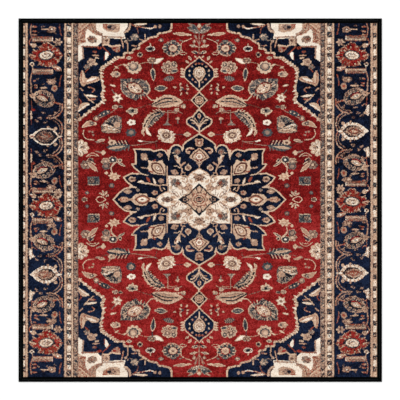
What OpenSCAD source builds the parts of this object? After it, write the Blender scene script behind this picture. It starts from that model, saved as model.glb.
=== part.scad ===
// Square area rug with a Persian medallion pattern, lying flat.
// Millimetres. X runs across the rug, Y along it, +Z is up.
// The origin is under the middle of the rug, on the floor.

/* [Rug] */
// Length of each side, over the binding
side = 1830; // [1750:10:1900]
// Height of the cut pile above the floor
pile_top = 9; // [8.6:0.1:10]
// Sideways offset of the woven pattern on the rug
pattern_x = -5; // [-8:1:8]
// Lengthways offset of the woven pattern on the rug
pattern_y = 3; // [-8:1:8]

/* [Binding] */
// Width of binding tape that shows on top
tape_w = 25; // [18:1:28]
// Thickness of the tape
tape_t = 0.7; // [0.5:0.1:0.8]
// Diameter of the cord that fills the rolled edge
cord_d = 7.8; // [7:0.1:8]
// Height of the tape's flat top, over the trimmed pile
tape_top = 8.1; // [7.8:0.1:8.3]

/* [Backing] */
// Top of the woven backing cloth
cloth_top = 1.5; // [1.2:0.1:1.6]
// Top of the latex layer that locks the tufts
latex_top = 2.2; // [2:0.1:2.4]
// Top of the primary backing that the tufts go through
primary_top = 3.2; // [3:0.1:3.4]

/* [Pattern bands] */
// Half width of the red field
field_half = 609; // [600:1:615]
// Width of the narrow grey guard beside the field
grey_w = 24; // [20:1:26]
// Width of the cream guard
cream_w = 44; // [40:1:46]
// Width of the navy main border
border_w = 182; // [176:1:184]
// Width of the cream line round the medallion
outline_w = 7; // [5:0.5:12]
// Width of the cream edge of the corner pieces
corner_edge_w = 9; // [8:1:14]

/* [Hidden] */
PILE_NODES = ["pile_field", "pile_medallion", "pile_medallion_outline",
    "pile_rosette", "pile_rosette_star",
    "pile_finial_top", "pile_finial_bottom", "pile_diamond_top", "pile_diamond_bottom",
    "pile_pendant_top", "pile_pendant_bottom", "pile_pendant_drop_top", "pile_pendant_drop_bottom",
    "pile_corner_ne", "pile_corner_nw", "pile_corner_se", "pile_corner_sw",
    "pile_corner_edge_ne", "pile_corner_edge_nw", "pile_corner_edge_se", "pile_corner_edge_sw",
    "pile_cartouche_ne", "pile_cartouche_nw", "pile_cartouche_se", "pile_cartouche_sw",
    "pile_border_east", "pile_border_west", "pile_outer_guard_east", "pile_outer_guard_west",
    "pile_inner_guard_east", "pile_inner_guard_west", "pile_grey_guard_east", "pile_grey_guard_west"];
EDGE_NODES = ["binding_tape_north", "binding_tape_east", "binding_tape_south", "binding_tape_west",
    "edge_cord_north", "edge_cord_east", "edge_cord_south", "edge_cord_west",
    "stitching_north", "stitching_east", "stitching_south", "stitching_west"];

half = side / 2;
roll_d = cord_d + 2 * tape_t;
// The layers stop at the inner side of the cord
layer_half = half - tape_t - cord_d;
show_half = half - tape_w;
grey_half = field_half + grey_w;
cream_half = grey_half + cream_w;
border_half = cream_half + border_w;
beyond = side;
pile_low = tape_top - tape_t;
thread = 1.2;
thread_h = 0.5;
thread_in = 11.5;

// Outlines below are drawn in the quarter with X and Y positive, from the
// pattern's centre, and mirrored into the other three quarters.
function mirror_x(v) = [for (p = v) [-p[0], p[1]]];
function mirror_y(v) = [for (p = v) [p[0], -p[1]]];
function reverse(v) = [for (i = [len(v) - 1 : -1 : 0]) v[i]];
function drop_first(v) = [for (i = [1 : len(v) - 1]) v[i]];
function drop_last(v) = [for (i = [0 : len(v) - 2]) v[i]];
function arc(centre, r, from, to, steps) =
    [for (i = [0 : steps]) let (a = from + (to - from) * i / steps)
        centre + r * [cos(a), sin(a)]];

// A closed outline from the quarter that runs from the north tip to the east tip
function from_quarter(q) = concat(q, drop_first(reverse(mirror_y(q))),
    drop_first(mirror_x(mirror_y(q))), drop_last(drop_first(reverse(mirror_x(q)))));
// A closed outline from the right half that runs from the top tip to the bottom tip
function from_half(h) = concat(h, drop_last(drop_first(reverse(mirror_x(h)))));

function unit(v) = v / norm(v);
function turn_left(v) = [-v[1], v[0]];
// Moves one corner sideways by d, with long mitres cut short
function mitre(a, b, c, d) = let (n1 = turn_left(unit(b - a)), n2 = turn_left(unit(c - b)),
    m = (n1 + n2) / max(1 + n1 * n2, 0.45)) b + m * d;
function shift_ring(v, d) = let (n = len(v))
    [for (i = [0 : n - 1]) mitre(v[(i + n - 1) % n], v[i], v[(i + 1) % n], d)];
function shift_line(v, d) = let (n = len(v))
    [for (i = [0 : n - 1]) i == 0 ? v[0] + turn_left(unit(v[1] - v[0])) * d
        : i == n - 1 ? v[i] + turn_left(unit(v[i] - v[i - 1])) * d
        : mitre(v[i - 1], v[i], v[i + 1], d)];

medallion_ring = from_quarter(concat(
    [[0, 331], [40, 307], [68, 289], [81, 274], [80, 262], [84, 250]],
    arc([115, 243], 32, 135, 0, 6),
    [[153, 212], [164, 232], [172, 245], [191, 252], [228, 243], [247, 252], [314, 253], [329, 254],
     [319, 231], [319, 180], [338, 177], [326, 160], [310, 146], [290, 130], [312, 129],
     [338, 132], [358, 123], [381, 112], [367, 92], [350, 78], [326, 62], [348, 60],
     [373, 56], [400, 36], [433, 0]]));
rosette_ring = from_quarter([[0, 155], [30, 147], [58, 132], [66, 114], [95, 119], [156, 120],
    [154, 80], [151, 42], [172, 40], [194, 29], [212, 0]]);
star_ring = from_quarter([[0, 76], [22, 52], [40, 58], [62, 64], [58, 40], [64, 24], [98, 0]]);

finial_ring = from_half([[0, 452], [22, 436], [36, 428], [56, 416], [64, 394], [58, 376],
    [38, 366], [24, 352], [0, 338]]);
diamond_ring = from_half([[0, 538], [36, 502], [0, 464]]);
pendant_ring = from_half([[0, 712], [44, 674], [73, 646], [77, 618], [44, 586], [0, 546]]);
drop_ring = from_half(concat([[0, 667]], arc([0, 638], 31, 60, -50, 7), [[0, 588]]));

corner_line = [[650, 365], [563, 435], [525, 464], [482, 496], [491, 524], [482, 557],
    [492, 609], [495, 646], [485, 666], [462, 681], [436, 699], [415, 713], [380, 715],
    [376, 737], [340, 738], [330, 757], [304, 761], [300, 782], [276, 796], [250, 814],
    [213, 821], [203, 836], [171, 840], [146, 848], [140, 866], [130, beyond]];
cartouche_line = [[field_half, 693], [583, 711], [588, 768], [510, 774], [488, 794], [488, 813],
    [371, 808], [378, 838], [361, 868], [366, beyond], [field_half, beyond]];

module square_plate(half_w, low, high) {
    translate([-half_w, -half_w, low]) cube([2 * half_w, 2 * half_w, high - low]);
}

// All the pile: full height inside the binding, trimmed low under the tape
module pile_body() {
    union() {
        square_plate(layer_half, primary_top, pile_low);
        square_plate(show_half, primary_top, pile_top);
    }
}

module pile_zone() {
    intersection() {
        pile_body();
        translate([pattern_x, pattern_y, primary_top - 1]) linear_extrude(pile_top) children();
    }
}

module inlay(top = pile_top) {
    translate([pattern_x, pattern_y, primary_top]) linear_extrude(top - primary_top) children();
}

module band_2d(from, to) {
    translate([from, -beyond]) square([to - from, 2 * beyond]);
}

module medallion_outer_2d() { polygon(shift_ring(medallion_ring, outline_w / 2)); }
module medallion_inner_2d() { polygon(shift_ring(medallion_ring, -outline_w / 2)); }

module corner_edge_outer_2d() {
    polygon(concat(shift_line(corner_line, corner_edge_w / 2), [[corner_line[0][0], beyond]]));
}

module corner_ground_2d() {
    polygon(concat(shift_line(corner_line, -corner_edge_w / 2), [[corner_line[0][0], beyond]]));
}

// sx and sy are 1 or -1 and pick the corner
module corner_of(sx, sy) {
    mirror([sx < 0 ? 1 : 0, 0]) mirror([0, sy < 0 ? 1 : 0]) intersection() {
        children();
        square([field_half, beyond]);
    }
}

module all_corners_2d() {
    for (sx = [-1, 1], sy = [-1, 1]) corner_of(sx, sy) corner_edge_outer_2d();
}

module figures_2d() {
    medallion_outer_2d();
    for (s = [0, 1]) mirror([0, s]) {
        polygon(finial_ring);
        polygon(diamond_ring);
        polygon(pendant_ring);
    }
    all_corners_2d();
}

module pile_field() {
    color("firebrick") pile_zone() difference() {
        band_2d(-field_half, field_half);
        figures_2d();
    }
}

module pile_medallion() {
    color("midnightblue") inlay() difference() {
        medallion_inner_2d();
        polygon(rosette_ring);
    }
}

module pile_medallion_outline() {
    color("wheat") inlay() difference() {
        medallion_outer_2d();
        medallion_inner_2d();
    }
}

module pile_rosette() {
    color("ivory") inlay() difference() {
        polygon(rosette_ring);
        polygon(star_ring);
    }
}

module pile_rosette_star() { color("tan") inlay() polygon(star_ring); }

module pile_finial(s) {
    color("midnightblue") inlay() mirror([0, s < 0 ? 1 : 0]) difference() {
        polygon(finial_ring);
        medallion_outer_2d();
    }
}

module pile_diamond(s) {
    color("rosybrown") inlay() mirror([0, s < 0 ? 1 : 0]) polygon(diamond_ring);
}

module pile_pendant(s) {
    color("midnightblue") inlay() mirror([0, s < 0 ? 1 : 0]) difference() {
        polygon(pendant_ring);
        polygon(drop_ring);
    }
}

module pile_pendant_drop(s) {
    color("bisque") inlay() mirror([0, s < 0 ? 1 : 0]) polygon(drop_ring);
}

module pile_corner(sx, sy) {
    color("midnightblue") pile_zone() corner_of(sx, sy) difference() {
        corner_ground_2d();
        polygon(cartouche_line);
    }
}

module pile_corner_edge(sx, sy) {
    color("wheat") pile_zone() corner_of(sx, sy) difference() {
        corner_edge_outer_2d();
        corner_ground_2d();
    }
}

module pile_cartouche(sx, sy) {
    color("ivory") pile_zone() corner_of(sx, sy) polygon(cartouche_line);
}

module side_band(s, from, to, tint) {
    color(tint) pile_zone() mirror([s < 0 ? 1 : 0, 0]) band_2d(from, to);
}

module backing_cloth() {
    color("burlywood") union() {
        square_plate(layer_half, tape_t, cloth_top);
        square_plate(show_half, 0, cloth_top);
    }
}

module latex_layer() { color("lightgrey") square_plate(layer_half, cloth_top, latex_top); }

module primary_backing() { color("tan") square_plate(layer_half, latex_top, primary_top); }

// Cross-section of one edge: x is the distance in from the rug's outer edge
module roll_2d(d) { translate([roll_d / 2, roll_d / 2]) circle(d = d, $fn = 12); }

module tape_2d() {
    difference() {
        union() {
            roll_2d(roll_d);
            translate([roll_d / 2, 0]) square([tape_w - roll_d / 2, tape_top]);
        }
        roll_2d(cord_d);
        translate([roll_d / 2, tape_t]) square([tape_w, tape_top - 2 * tape_t]);
    }
}

module thread_2d() { translate([thread_in, tape_top]) square([thread, thread_h]); }

// Runs a cross-section along one side, with its ends cut to 45 degree mitres
module edge_run(turn) {
    rotate([0, 0, turn]) intersection() {
        translate([-half, half, 0]) rotate([90, 0, 90]) mirror([1, 0, 0])
            linear_extrude(side) children();
        linear_extrude(2 * roll_d) polygon([[0, 0], [half, half], [-half, half]]);
    }
}

module binding_tape(turn) { color("black") edge_run(turn) tape_2d(); }
module edge_cord(turn) { color("dimgray") edge_run(turn) roll_2d(cord_d); }
module stitching(turn) { color("darkslategray") edge_run(turn) thread_2d(); }

backing_cloth();
latex_layer();
primary_backing();
pile_field();
pile_medallion();
pile_medallion_outline();
pile_rosette();
pile_rosette_star();
pile_finial(1);  // pile_finial_top
pile_finial(-1);  // pile_finial_bottom
pile_diamond(1);  // pile_diamond_top
pile_diamond(-1);  // pile_diamond_bottom
pile_pendant(1);  // pile_pendant_top
pile_pendant(-1);  // pile_pendant_bottom
pile_pendant_drop(1);  // pile_pendant_drop_top
pile_pendant_drop(-1);  // pile_pendant_drop_bottom
pile_corner(1, 1);  // pile_corner_ne
pile_corner(-1, 1);  // pile_corner_nw
pile_corner(1, -1);  // pile_corner_se
pile_corner(-1, -1);  // pile_corner_sw
pile_corner_edge(1, 1);  // pile_corner_edge_ne
pile_corner_edge(-1, 1);  // pile_corner_edge_nw
pile_corner_edge(1, -1);  // pile_corner_edge_se
pile_corner_edge(-1, -1);  // pile_corner_edge_sw
pile_cartouche(1, 1);  // pile_cartouche_ne
pile_cartouche(-1, 1);  // pile_cartouche_nw
pile_cartouche(1, -1);  // pile_cartouche_se
pile_cartouche(-1, -1);  // pile_cartouche_sw
side_band(1, cream_half, border_half, "navy");  // pile_border_east
side_band(-1, cream_half, border_half, "navy");  // pile_border_west
side_band(1, border_half, beyond, "wheat");  // pile_outer_guard_east
side_band(-1, border_half, beyond, "wheat");  // pile_outer_guard_west
side_band(1, grey_half, cream_half, "bisque");  // pile_inner_guard_east
side_band(-1, grey_half, cream_half, "bisque");  // pile_inner_guard_west
side_band(1, field_half, grey_half, "gray");  // pile_grey_guard_east
side_band(-1, field_half, grey_half, "gray");  // pile_grey_guard_west
binding_tape(0);  // binding_tape_north
binding_tape(90);  // binding_tape_west
binding_tape(180);  // binding_tape_south
binding_tape(270);  // binding_tape_east
edge_cord(0);  // edge_cord_north
edge_cord(90);  // edge_cord_west
edge_cord(180);  // edge_cord_south
edge_cord(270);  // edge_cord_east
stitching(0);  // stitching_north
stitching(90);  // stitching_west
stitching(180);  // stitching_south
stitching(270);  // stitching_east
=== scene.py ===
"""Looks for the square medallion rug: knotted pile, bound edges, backing, floor, light and camera.

The pattern is drawn on cartoons, as a weaver's designer does: maps with one yarn number per square
millimetre. Every knot of the pile then looks up its yarn there, or takes the ground yarn of the CAD
area it stands in. All cartoon sizes are in millimetres from the middle of the pattern.
"""
import math

import bpy
import numpy as np
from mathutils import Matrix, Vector
from mathutils.bvhtree import BVHTree


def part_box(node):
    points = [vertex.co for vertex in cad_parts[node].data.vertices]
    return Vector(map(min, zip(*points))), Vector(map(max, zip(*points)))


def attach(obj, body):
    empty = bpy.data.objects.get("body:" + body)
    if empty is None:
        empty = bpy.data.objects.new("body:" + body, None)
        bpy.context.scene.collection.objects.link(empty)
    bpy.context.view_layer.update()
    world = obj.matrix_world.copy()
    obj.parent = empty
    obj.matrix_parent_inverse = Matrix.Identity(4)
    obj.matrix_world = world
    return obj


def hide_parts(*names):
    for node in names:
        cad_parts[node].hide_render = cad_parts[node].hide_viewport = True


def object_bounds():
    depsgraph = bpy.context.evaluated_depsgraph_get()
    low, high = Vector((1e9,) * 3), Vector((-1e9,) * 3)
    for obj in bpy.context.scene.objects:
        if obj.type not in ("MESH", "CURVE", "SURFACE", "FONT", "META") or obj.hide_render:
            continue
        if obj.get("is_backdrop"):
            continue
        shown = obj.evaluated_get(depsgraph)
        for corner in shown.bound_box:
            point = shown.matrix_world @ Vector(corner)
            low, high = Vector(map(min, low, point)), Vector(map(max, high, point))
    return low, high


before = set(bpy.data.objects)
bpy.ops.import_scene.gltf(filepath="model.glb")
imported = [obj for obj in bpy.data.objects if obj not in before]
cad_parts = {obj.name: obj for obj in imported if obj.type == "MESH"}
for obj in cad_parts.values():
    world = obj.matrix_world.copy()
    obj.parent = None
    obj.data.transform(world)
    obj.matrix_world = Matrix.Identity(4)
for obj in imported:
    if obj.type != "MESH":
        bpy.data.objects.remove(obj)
cad_low, cad_high = (list(corner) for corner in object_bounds())

# ---------------------------------------------------------------- sizes taken from the frame
MM = 0.001
field_low, field_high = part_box("pile_field")
PATTERN_X = (field_low[0] + field_high[0]) / 2 / MM
star_low, star_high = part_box("pile_rosette_star")
PATTERN_Y = (star_low[1] + star_high[1]) / 2 / MM
SHOW_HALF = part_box("binding_tape_north")[0][1]  # half width of the pile that shows inside the binding
PILE_TOP = field_high[2]
PILE_FOOT = field_low[2]
RUG_HALF = cad_high[0]
FIELD_HALF = (field_high[0] - field_low[0]) / 2 / MM
BORDER_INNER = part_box("pile_border_east")[0][0] / MM - PATTERN_X
BORDER_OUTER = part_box("pile_outer_guard_east")[0][0] / MM - PATTERN_X

KNOT = 0.003  # pitch of the knots
KNOT_SHIFT = 0.16  # how far a corner between knots may stand aside, as a share of the pitch
SHEARED = (-0.35, 0.2)  # how far a tuft's top may stand under or over the pile's height, in mm
RIB = 0.12  # height of every other row of tufts over its neighbours, in mm
TUCK = 0.3  # how far the pile's cut side reaches under the binding, in mm

# ---------------------------------------------------------------- yarns
# name: (red, green, blue) in display values of 0 to 255
YARNS = {
    "crimson": (118, 21, 19),
    "navy": (11, 17, 35),
    "ivory": (230, 216, 199),
    "cream": (204, 174, 148),
    "tan": (174, 136, 112),
    "brown": (88, 58, 48),
    "dusk": (146, 118, 104),
    "grey": (112, 104, 96),
    "slate": (64, 68, 72),
    "ink": (24, 24, 32),
    "rust": (140, 66, 48),
    "wine": (80, 10, 12),
    "madder": (154, 44, 43),
    "midnight": (3, 5, 14),
    "indigo": (26, 37, 60),
}
(CRIMSON, NAVY, IVORY, CREAM, TAN, BROWN, DUSK, GREY, SLATE, INK, RUST, WINE, MADDER, MIDNIGHT,
 INDIGO) = range(len(YARNS))
BARE = -1
MOTTLE = 4  # size of the cells where several yarns are mixed, in mm
MAP_HALF = 900  # the cartoons reach this far from the middle of the pattern, in mm
FLORAL = (BROWN, DUSK, TAN, BROWN, GREY)
# mixes of yarn that come back often
PEACH = (CREAM, TAN)
SAND = (TAN, CREAM)
BUFF = (TAN, DUSK)
FAWN = (DUSK, TAN)
EARTH = (RUST, BROWN)
CLAY = (TAN, RUST)
COPPER = (RUST, TAN)
BARK = (BROWN, DUSK)
PEARL = (IVORY, CREAM)
MILK = (CREAM, IVORY)
HEART = (BROWN, RUST, DUSK)
STONE = (DUSK, GREY)
COAL = (INK, SLATE)

GROUND = {
    "pile_field": CRIMSON, "pile_medallion": NAVY, "pile_medallion_outline": CREAM,
    "pile_rosette": IVORY, "pile_rosette_star": TAN, "pile_finial": NAVY, "pile_diamond": DUSK,
    "pile_pendant": NAVY, "pile_pendant_drop": CREAM, "pile_corner": NAVY, "pile_corner_edge": CREAM,
    "pile_cartouche": IVORY, "pile_border": NAVY, "pile_outer_guard": CREAM,
    "pile_inner_guard": CREAM, "pile_grey_guard": DUSK,
}
# the others take the name of their ground yarn
PLACES = ("_top", "_bottom", "_ne", "_nw", "_se", "_sw", "_east", "_west")


def area_kind(node):
    """The node's name without its place, such as pile_corner for pile_corner_ne."""
    for place in PLACES:
        if node.endswith(place):
            return node[: -len(place)]
    return node


# ---------------------------------------------------------------- outlines
def smooth(points, steps=6):
    """A Catmull-Rom curve through the points."""
    p = [np.asarray(q, float) for q in points]
    p = [2 * p[0] - p[1]] + p + [2 * p[-1] - p[-2]]
    out = []
    for a, b, c, d in zip(p, p[1:], p[2:], p[3:]):
        for s in range(steps):
            t = s / steps
            out.append(0.5 * (2 * b + (c - a) * t + (2 * a - 5 * b + 4 * c - d) * t * t
                              + (3 * b - 3 * c + d - a) * t ** 3))
    return out + [p[-2]]


def at(centre, along, across, turn):
    """A point along and across from the centre, with the whole turned by some degrees."""
    c, s = math.cos(math.radians(turn)), math.sin(math.radians(turn))
    return (centre[0] + along * c - across * s, centre[1] + along * s + across * c)


def round_at(centre, rx, ry, angle, turn=0):
    """The point of a turned oval at this angle, in radians."""
    return at(centre, rx * math.cos(angle), ry * math.sin(angle), turn)


def spokes(count, start=0.0):
    """Number and angle of each of some even spokes, the first of them at the share start of a step."""
    return [(k, 2 * math.pi * (k + start) / count) for k in range(count)]


def oval_points(centre, rx, ry, turn=0):
    """A turned oval."""
    return [round_at(centre, rx, ry, a, turn) for _, a in spokes(20)]


def lobed_points(centre, rx, ry, lobes, depth=0.25, turn=0):
    """A scalloped ring: round petals with notches between them."""
    out = []
    for _, a in spokes(lobes * 10):
        r = 1 - depth + depth * abs(math.cos(lobes * a / 2)) ** 0.7
        out.append(round_at(centre, rx * r, ry * r, a, turn))
    return out


def spiky_points(centre, rx, ry, points, depth, turn):
    """A star of sharp petals."""
    out = []
    for k, a in spokes(2 * points):
        r = 1 if k % 2 == 0 else 1 - depth
        out.append(round_at(centre, rx * r, ry * r, a, turn))
    return out


def bow(a, b, t, bend):
    """The point at the share t of the way from a to b, on a line bowed sideways by bend."""
    along = b - a
    side = np.array([-along[1], along[0]]) / max(np.hypot(*along), 1e-6)
    return a + along * t + side * bend * math.sin(math.pi * t), side


def leaf_points(a, b, width, bend=0.0, fat=0.5):
    """A leaf from a to b, widest at the share fat of its length."""
    power = math.log(0.5) / math.log(fat)
    left, right = [], []
    for k in range(15):
        t = k / 14
        mid, side = bow(a, b, t, bend)
        half = width / 2 * math.sin(math.pi * t ** power) ** 0.8
        left.append(mid + side * half)
        right.append(mid - side * half)
    return left + right[::-1]


# ---------------------------------------------------------------- drawing on a cartoon
class Cartoon:
    """A map of yarn numbers, one per square millimetre, from (x0, y0) to (x1, y1).

    Every figure takes its places as x, y numbers, and put() says where they count from. A yarn is one
    number, or a tuple of several that are mottled together.
    """

    def __init__(self, x0, y0, x1, y1):
        self.x0, self.y0 = x0, y0
        self.yarn = np.full((y1 - y0, x1 - x0), BARE, np.int8)
        self.dice = np.random.default_rng(11)
        self.put()

    def put(self, up=0, flip_y=1, flip_x=1):
        """From now on, places are mirrored by the flips and then moved up."""
        self.flip, self.up = (flip_x, flip_y), up

    def placed(self, points):
        """Points, given as pairs or as a flat run of x, y, x, y, as an array of placed pairs."""
        return np.asarray(points, float).reshape(-1, 2) * self.flip + (0, self.up)

    def mix(self, yarn, height, width):
        """One yarn, or a mottle of several in cells of MOTTLE mm, for an area of this size."""
        choices = np.atleast_1d(yarn)
        cells = self.dice.integers(0, len(choices), (height // MOTTLE + 2, width // MOTTLE + 2))
        fine = cells.repeat(MOTTLE, axis=0).repeat(MOTTLE, axis=1)
        return choices[fine[:height, :width]]

    def window(self, xs, ys, pad):
        """The slices and the cell centres that cover these points."""
        h, w = self.yarn.shape
        i0 = int(np.clip(math.floor(min(xs) - pad) - self.x0, 0, w))
        i1 = int(np.clip(math.ceil(max(xs) + pad) - self.x0, 0, w))
        j0 = int(np.clip(math.floor(min(ys) - pad) - self.y0, 0, h))
        j1 = int(np.clip(math.ceil(max(ys) + pad) - self.y0, 0, h))
        cx = np.arange(i0, i1) + self.x0 + 0.5
        cy = np.arange(j0, j1) + self.y0 + 0.5
        return slice(j0, j1), slice(i0, i1), cx[None, :], cy[:, None]

    def paint(self, outline, yarn):
        """Fills an outline that is already placed."""
        pts = np.asarray(outline, float)
        rows, cols, cx, cy = self.window(pts[:, 0], pts[:, 1], 1)
        if not cx.size or not cy.size:
            return
        inside = np.zeros((cy.size, cx.size), bool)
        for (ax, ay), (bx, by) in zip(pts, np.roll(pts, -1, axis=0)):
            if ay != by:
                crosses = (ay > cy) != (by > cy)
                inside ^= crosses & (cx < ax + (cy - ay) * (bx - ax) / (by - ay))
        self.yarn[rows, cols][inside] = self.mix(yarn, cy.size, cx.size)[inside]

    def stroke(self, points, width, yarn):
        """Draws a line through points that are already placed."""
        half = width / 2
        for (ax, ay), (bx, by) in zip(points[:-1], points[1:]):
            rows, cols, cx, cy = self.window((ax, bx), (ay, by), half + 1)
            if not cx.size or not cy.size:
                continue
            dx, dy = bx - ax, by - ay
            length2 = max(dx * dx + dy * dy, 1e-9)
            t = np.clip(((cx - ax) * dx + (cy - ay) * dy) / length2, 0, 1)
            near = (cx - ax - t * dx) ** 2 + (cy - ay - t * dy) ** 2 <= half * half
            self.yarn[rows, cols][near] = self.mix(yarn, cy.size, cx.size)[near]

    def fill(self, points, yarn):
        """Fills a polygon."""
        self.paint(self.placed(points), yarn)

    def line(self, points, width, yarn):
        """Straight from point to point."""
        self.stroke(self.placed(points), width, yarn)

    def curve(self, points, width, yarn):
        """A line that bends smoothly through its points."""
        self.stroke(smooth(self.placed(points)), width, yarn)

    def oval(self, x, y, rx, ry, yarn, turn=0):
        """Fills an oval with these half widths."""
        self.paint(oval_points(self.placed((x, y))[0], rx, ry, turn), yarn)

    def lobes(self, x, y, rx, ry, lobes, yarn, depth=0.25, turn=0):
        """Fills a scalloped ring."""
        self.paint(lobed_points(self.placed((x, y))[0], rx, ry, lobes, depth, turn), yarn)

    def spikes(self, x, y, rx, ry, points, yarn, depth, turn):
        """Fills a star of sharp petals."""
        self.paint(spiky_points(self.placed((x, y))[0], rx, ry, points, depth, turn), yarn)

    def blade(self, ax, ay, bx, by, width, yarn, bend=0.0, fat=0.5):
        """Fills a leaf from a to b, in one yarn or mix."""
        a, b = self.placed((ax, ay, bx, by))
        self.paint(leaf_points(a, b, width, bend, fat), yarn)

    def bead(self, x, y, half_x, half_y, yarn):
        """A block with rounded corners."""
        cut = min(half_x, half_y) * 0.35
        low, high = half_y - cut, half_y
        inner, outer = half_x - cut, half_x
        block = ((-outer, -low), (-inner, -high), (inner, -high), (outer, -low),
                 (outer, low), (inner, high), (-inner, high), (-outer, low))
        self.fill([(x + dx, y + dy) for dx, dy in block], yarn)

    def blossom(self, x, y, rx, ry, lobes=5, edge=CREAM, body=TAN, eye=BROWN, core=CREAM, depth=0.25):
        """A round flower: a light edge, a body, a dark eye and a light middle."""
        p = self.placed((x, y))[0]
        self.paint(lobed_points(p, rx, ry, lobes, depth), edge)
        if body != BARE:
            self.paint(lobed_points(p, rx - 3.5, ry - 3.5, lobes, depth), body)
            outline = lobed_points(p, rx - 4.5, ry - 4.5, lobes, depth)
            if rx > 12:
                self.stroke(outline + outline[:1], 2.4, BROWN)
                for _, a in spokes(lobes, 0.5):
                    rib = [round_at(p, rx * reach, ry * reach, a) for reach in (0.4, 0.95)]
                    self.stroke(rib, 2.6, (BROWN, SLATE))
        if eye != BARE:
            self.paint(oval_points(p, rx * 0.5, ry * 0.5), eye)
        if core != BARE:
            self.paint(oval_points(p, rx * 0.27, ry * 0.27), core)

    def leaf(self, ax, ay, bx, by, width, edge=CREAM, body=TAN, vein=BARE, bend=0.0, fat=0.5):
        """A pointed leaf with a light edge and, if asked, a vein along it."""
        a, b = self.placed((ax, ay, bx, by))
        rim = 3.5
        self.paint(leaf_points(a, b, width, bend, fat), edge)
        if width > 2 * rim:
            root, tip = a * 0.92 + b * 0.08, b * 0.92 + a * 0.08
            self.paint(leaf_points(root, tip, width - 2 * rim, bend, fat), body)
        if vein != BARE:
            self.stroke([bow(a, b, t, bend)[0] for t in np.linspace(0.12, 0.9, 8)], 3, vein)

    def feather(self, ax, ay, bx, by, width, ground, barbs, count):
        """A leaf cut into slanting barbs on both sides of its rib."""
        a, b = self.placed((ax, ay, bx, by))
        self.paint(leaf_points(a, b, width, 0.0, 0.45), ground)
        step = (b - a) / (count + 1)
        for k in range(1, count + 1):
            t = k / (count + 1)
            root, side = bow(a, b, t, 0.0)
            reach = width * 0.47 * math.sin(math.pi * t) ** 0.8
            for way in (-1, 1):
                self.stroke([root, root - step * 0.5 + side * way * reach], 3.2, barbs)


def each(draw, *figures):
    """The same kind of figure, once for every tuple of sizes."""
    for sizes in figures:
        draw(*sizes)


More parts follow.
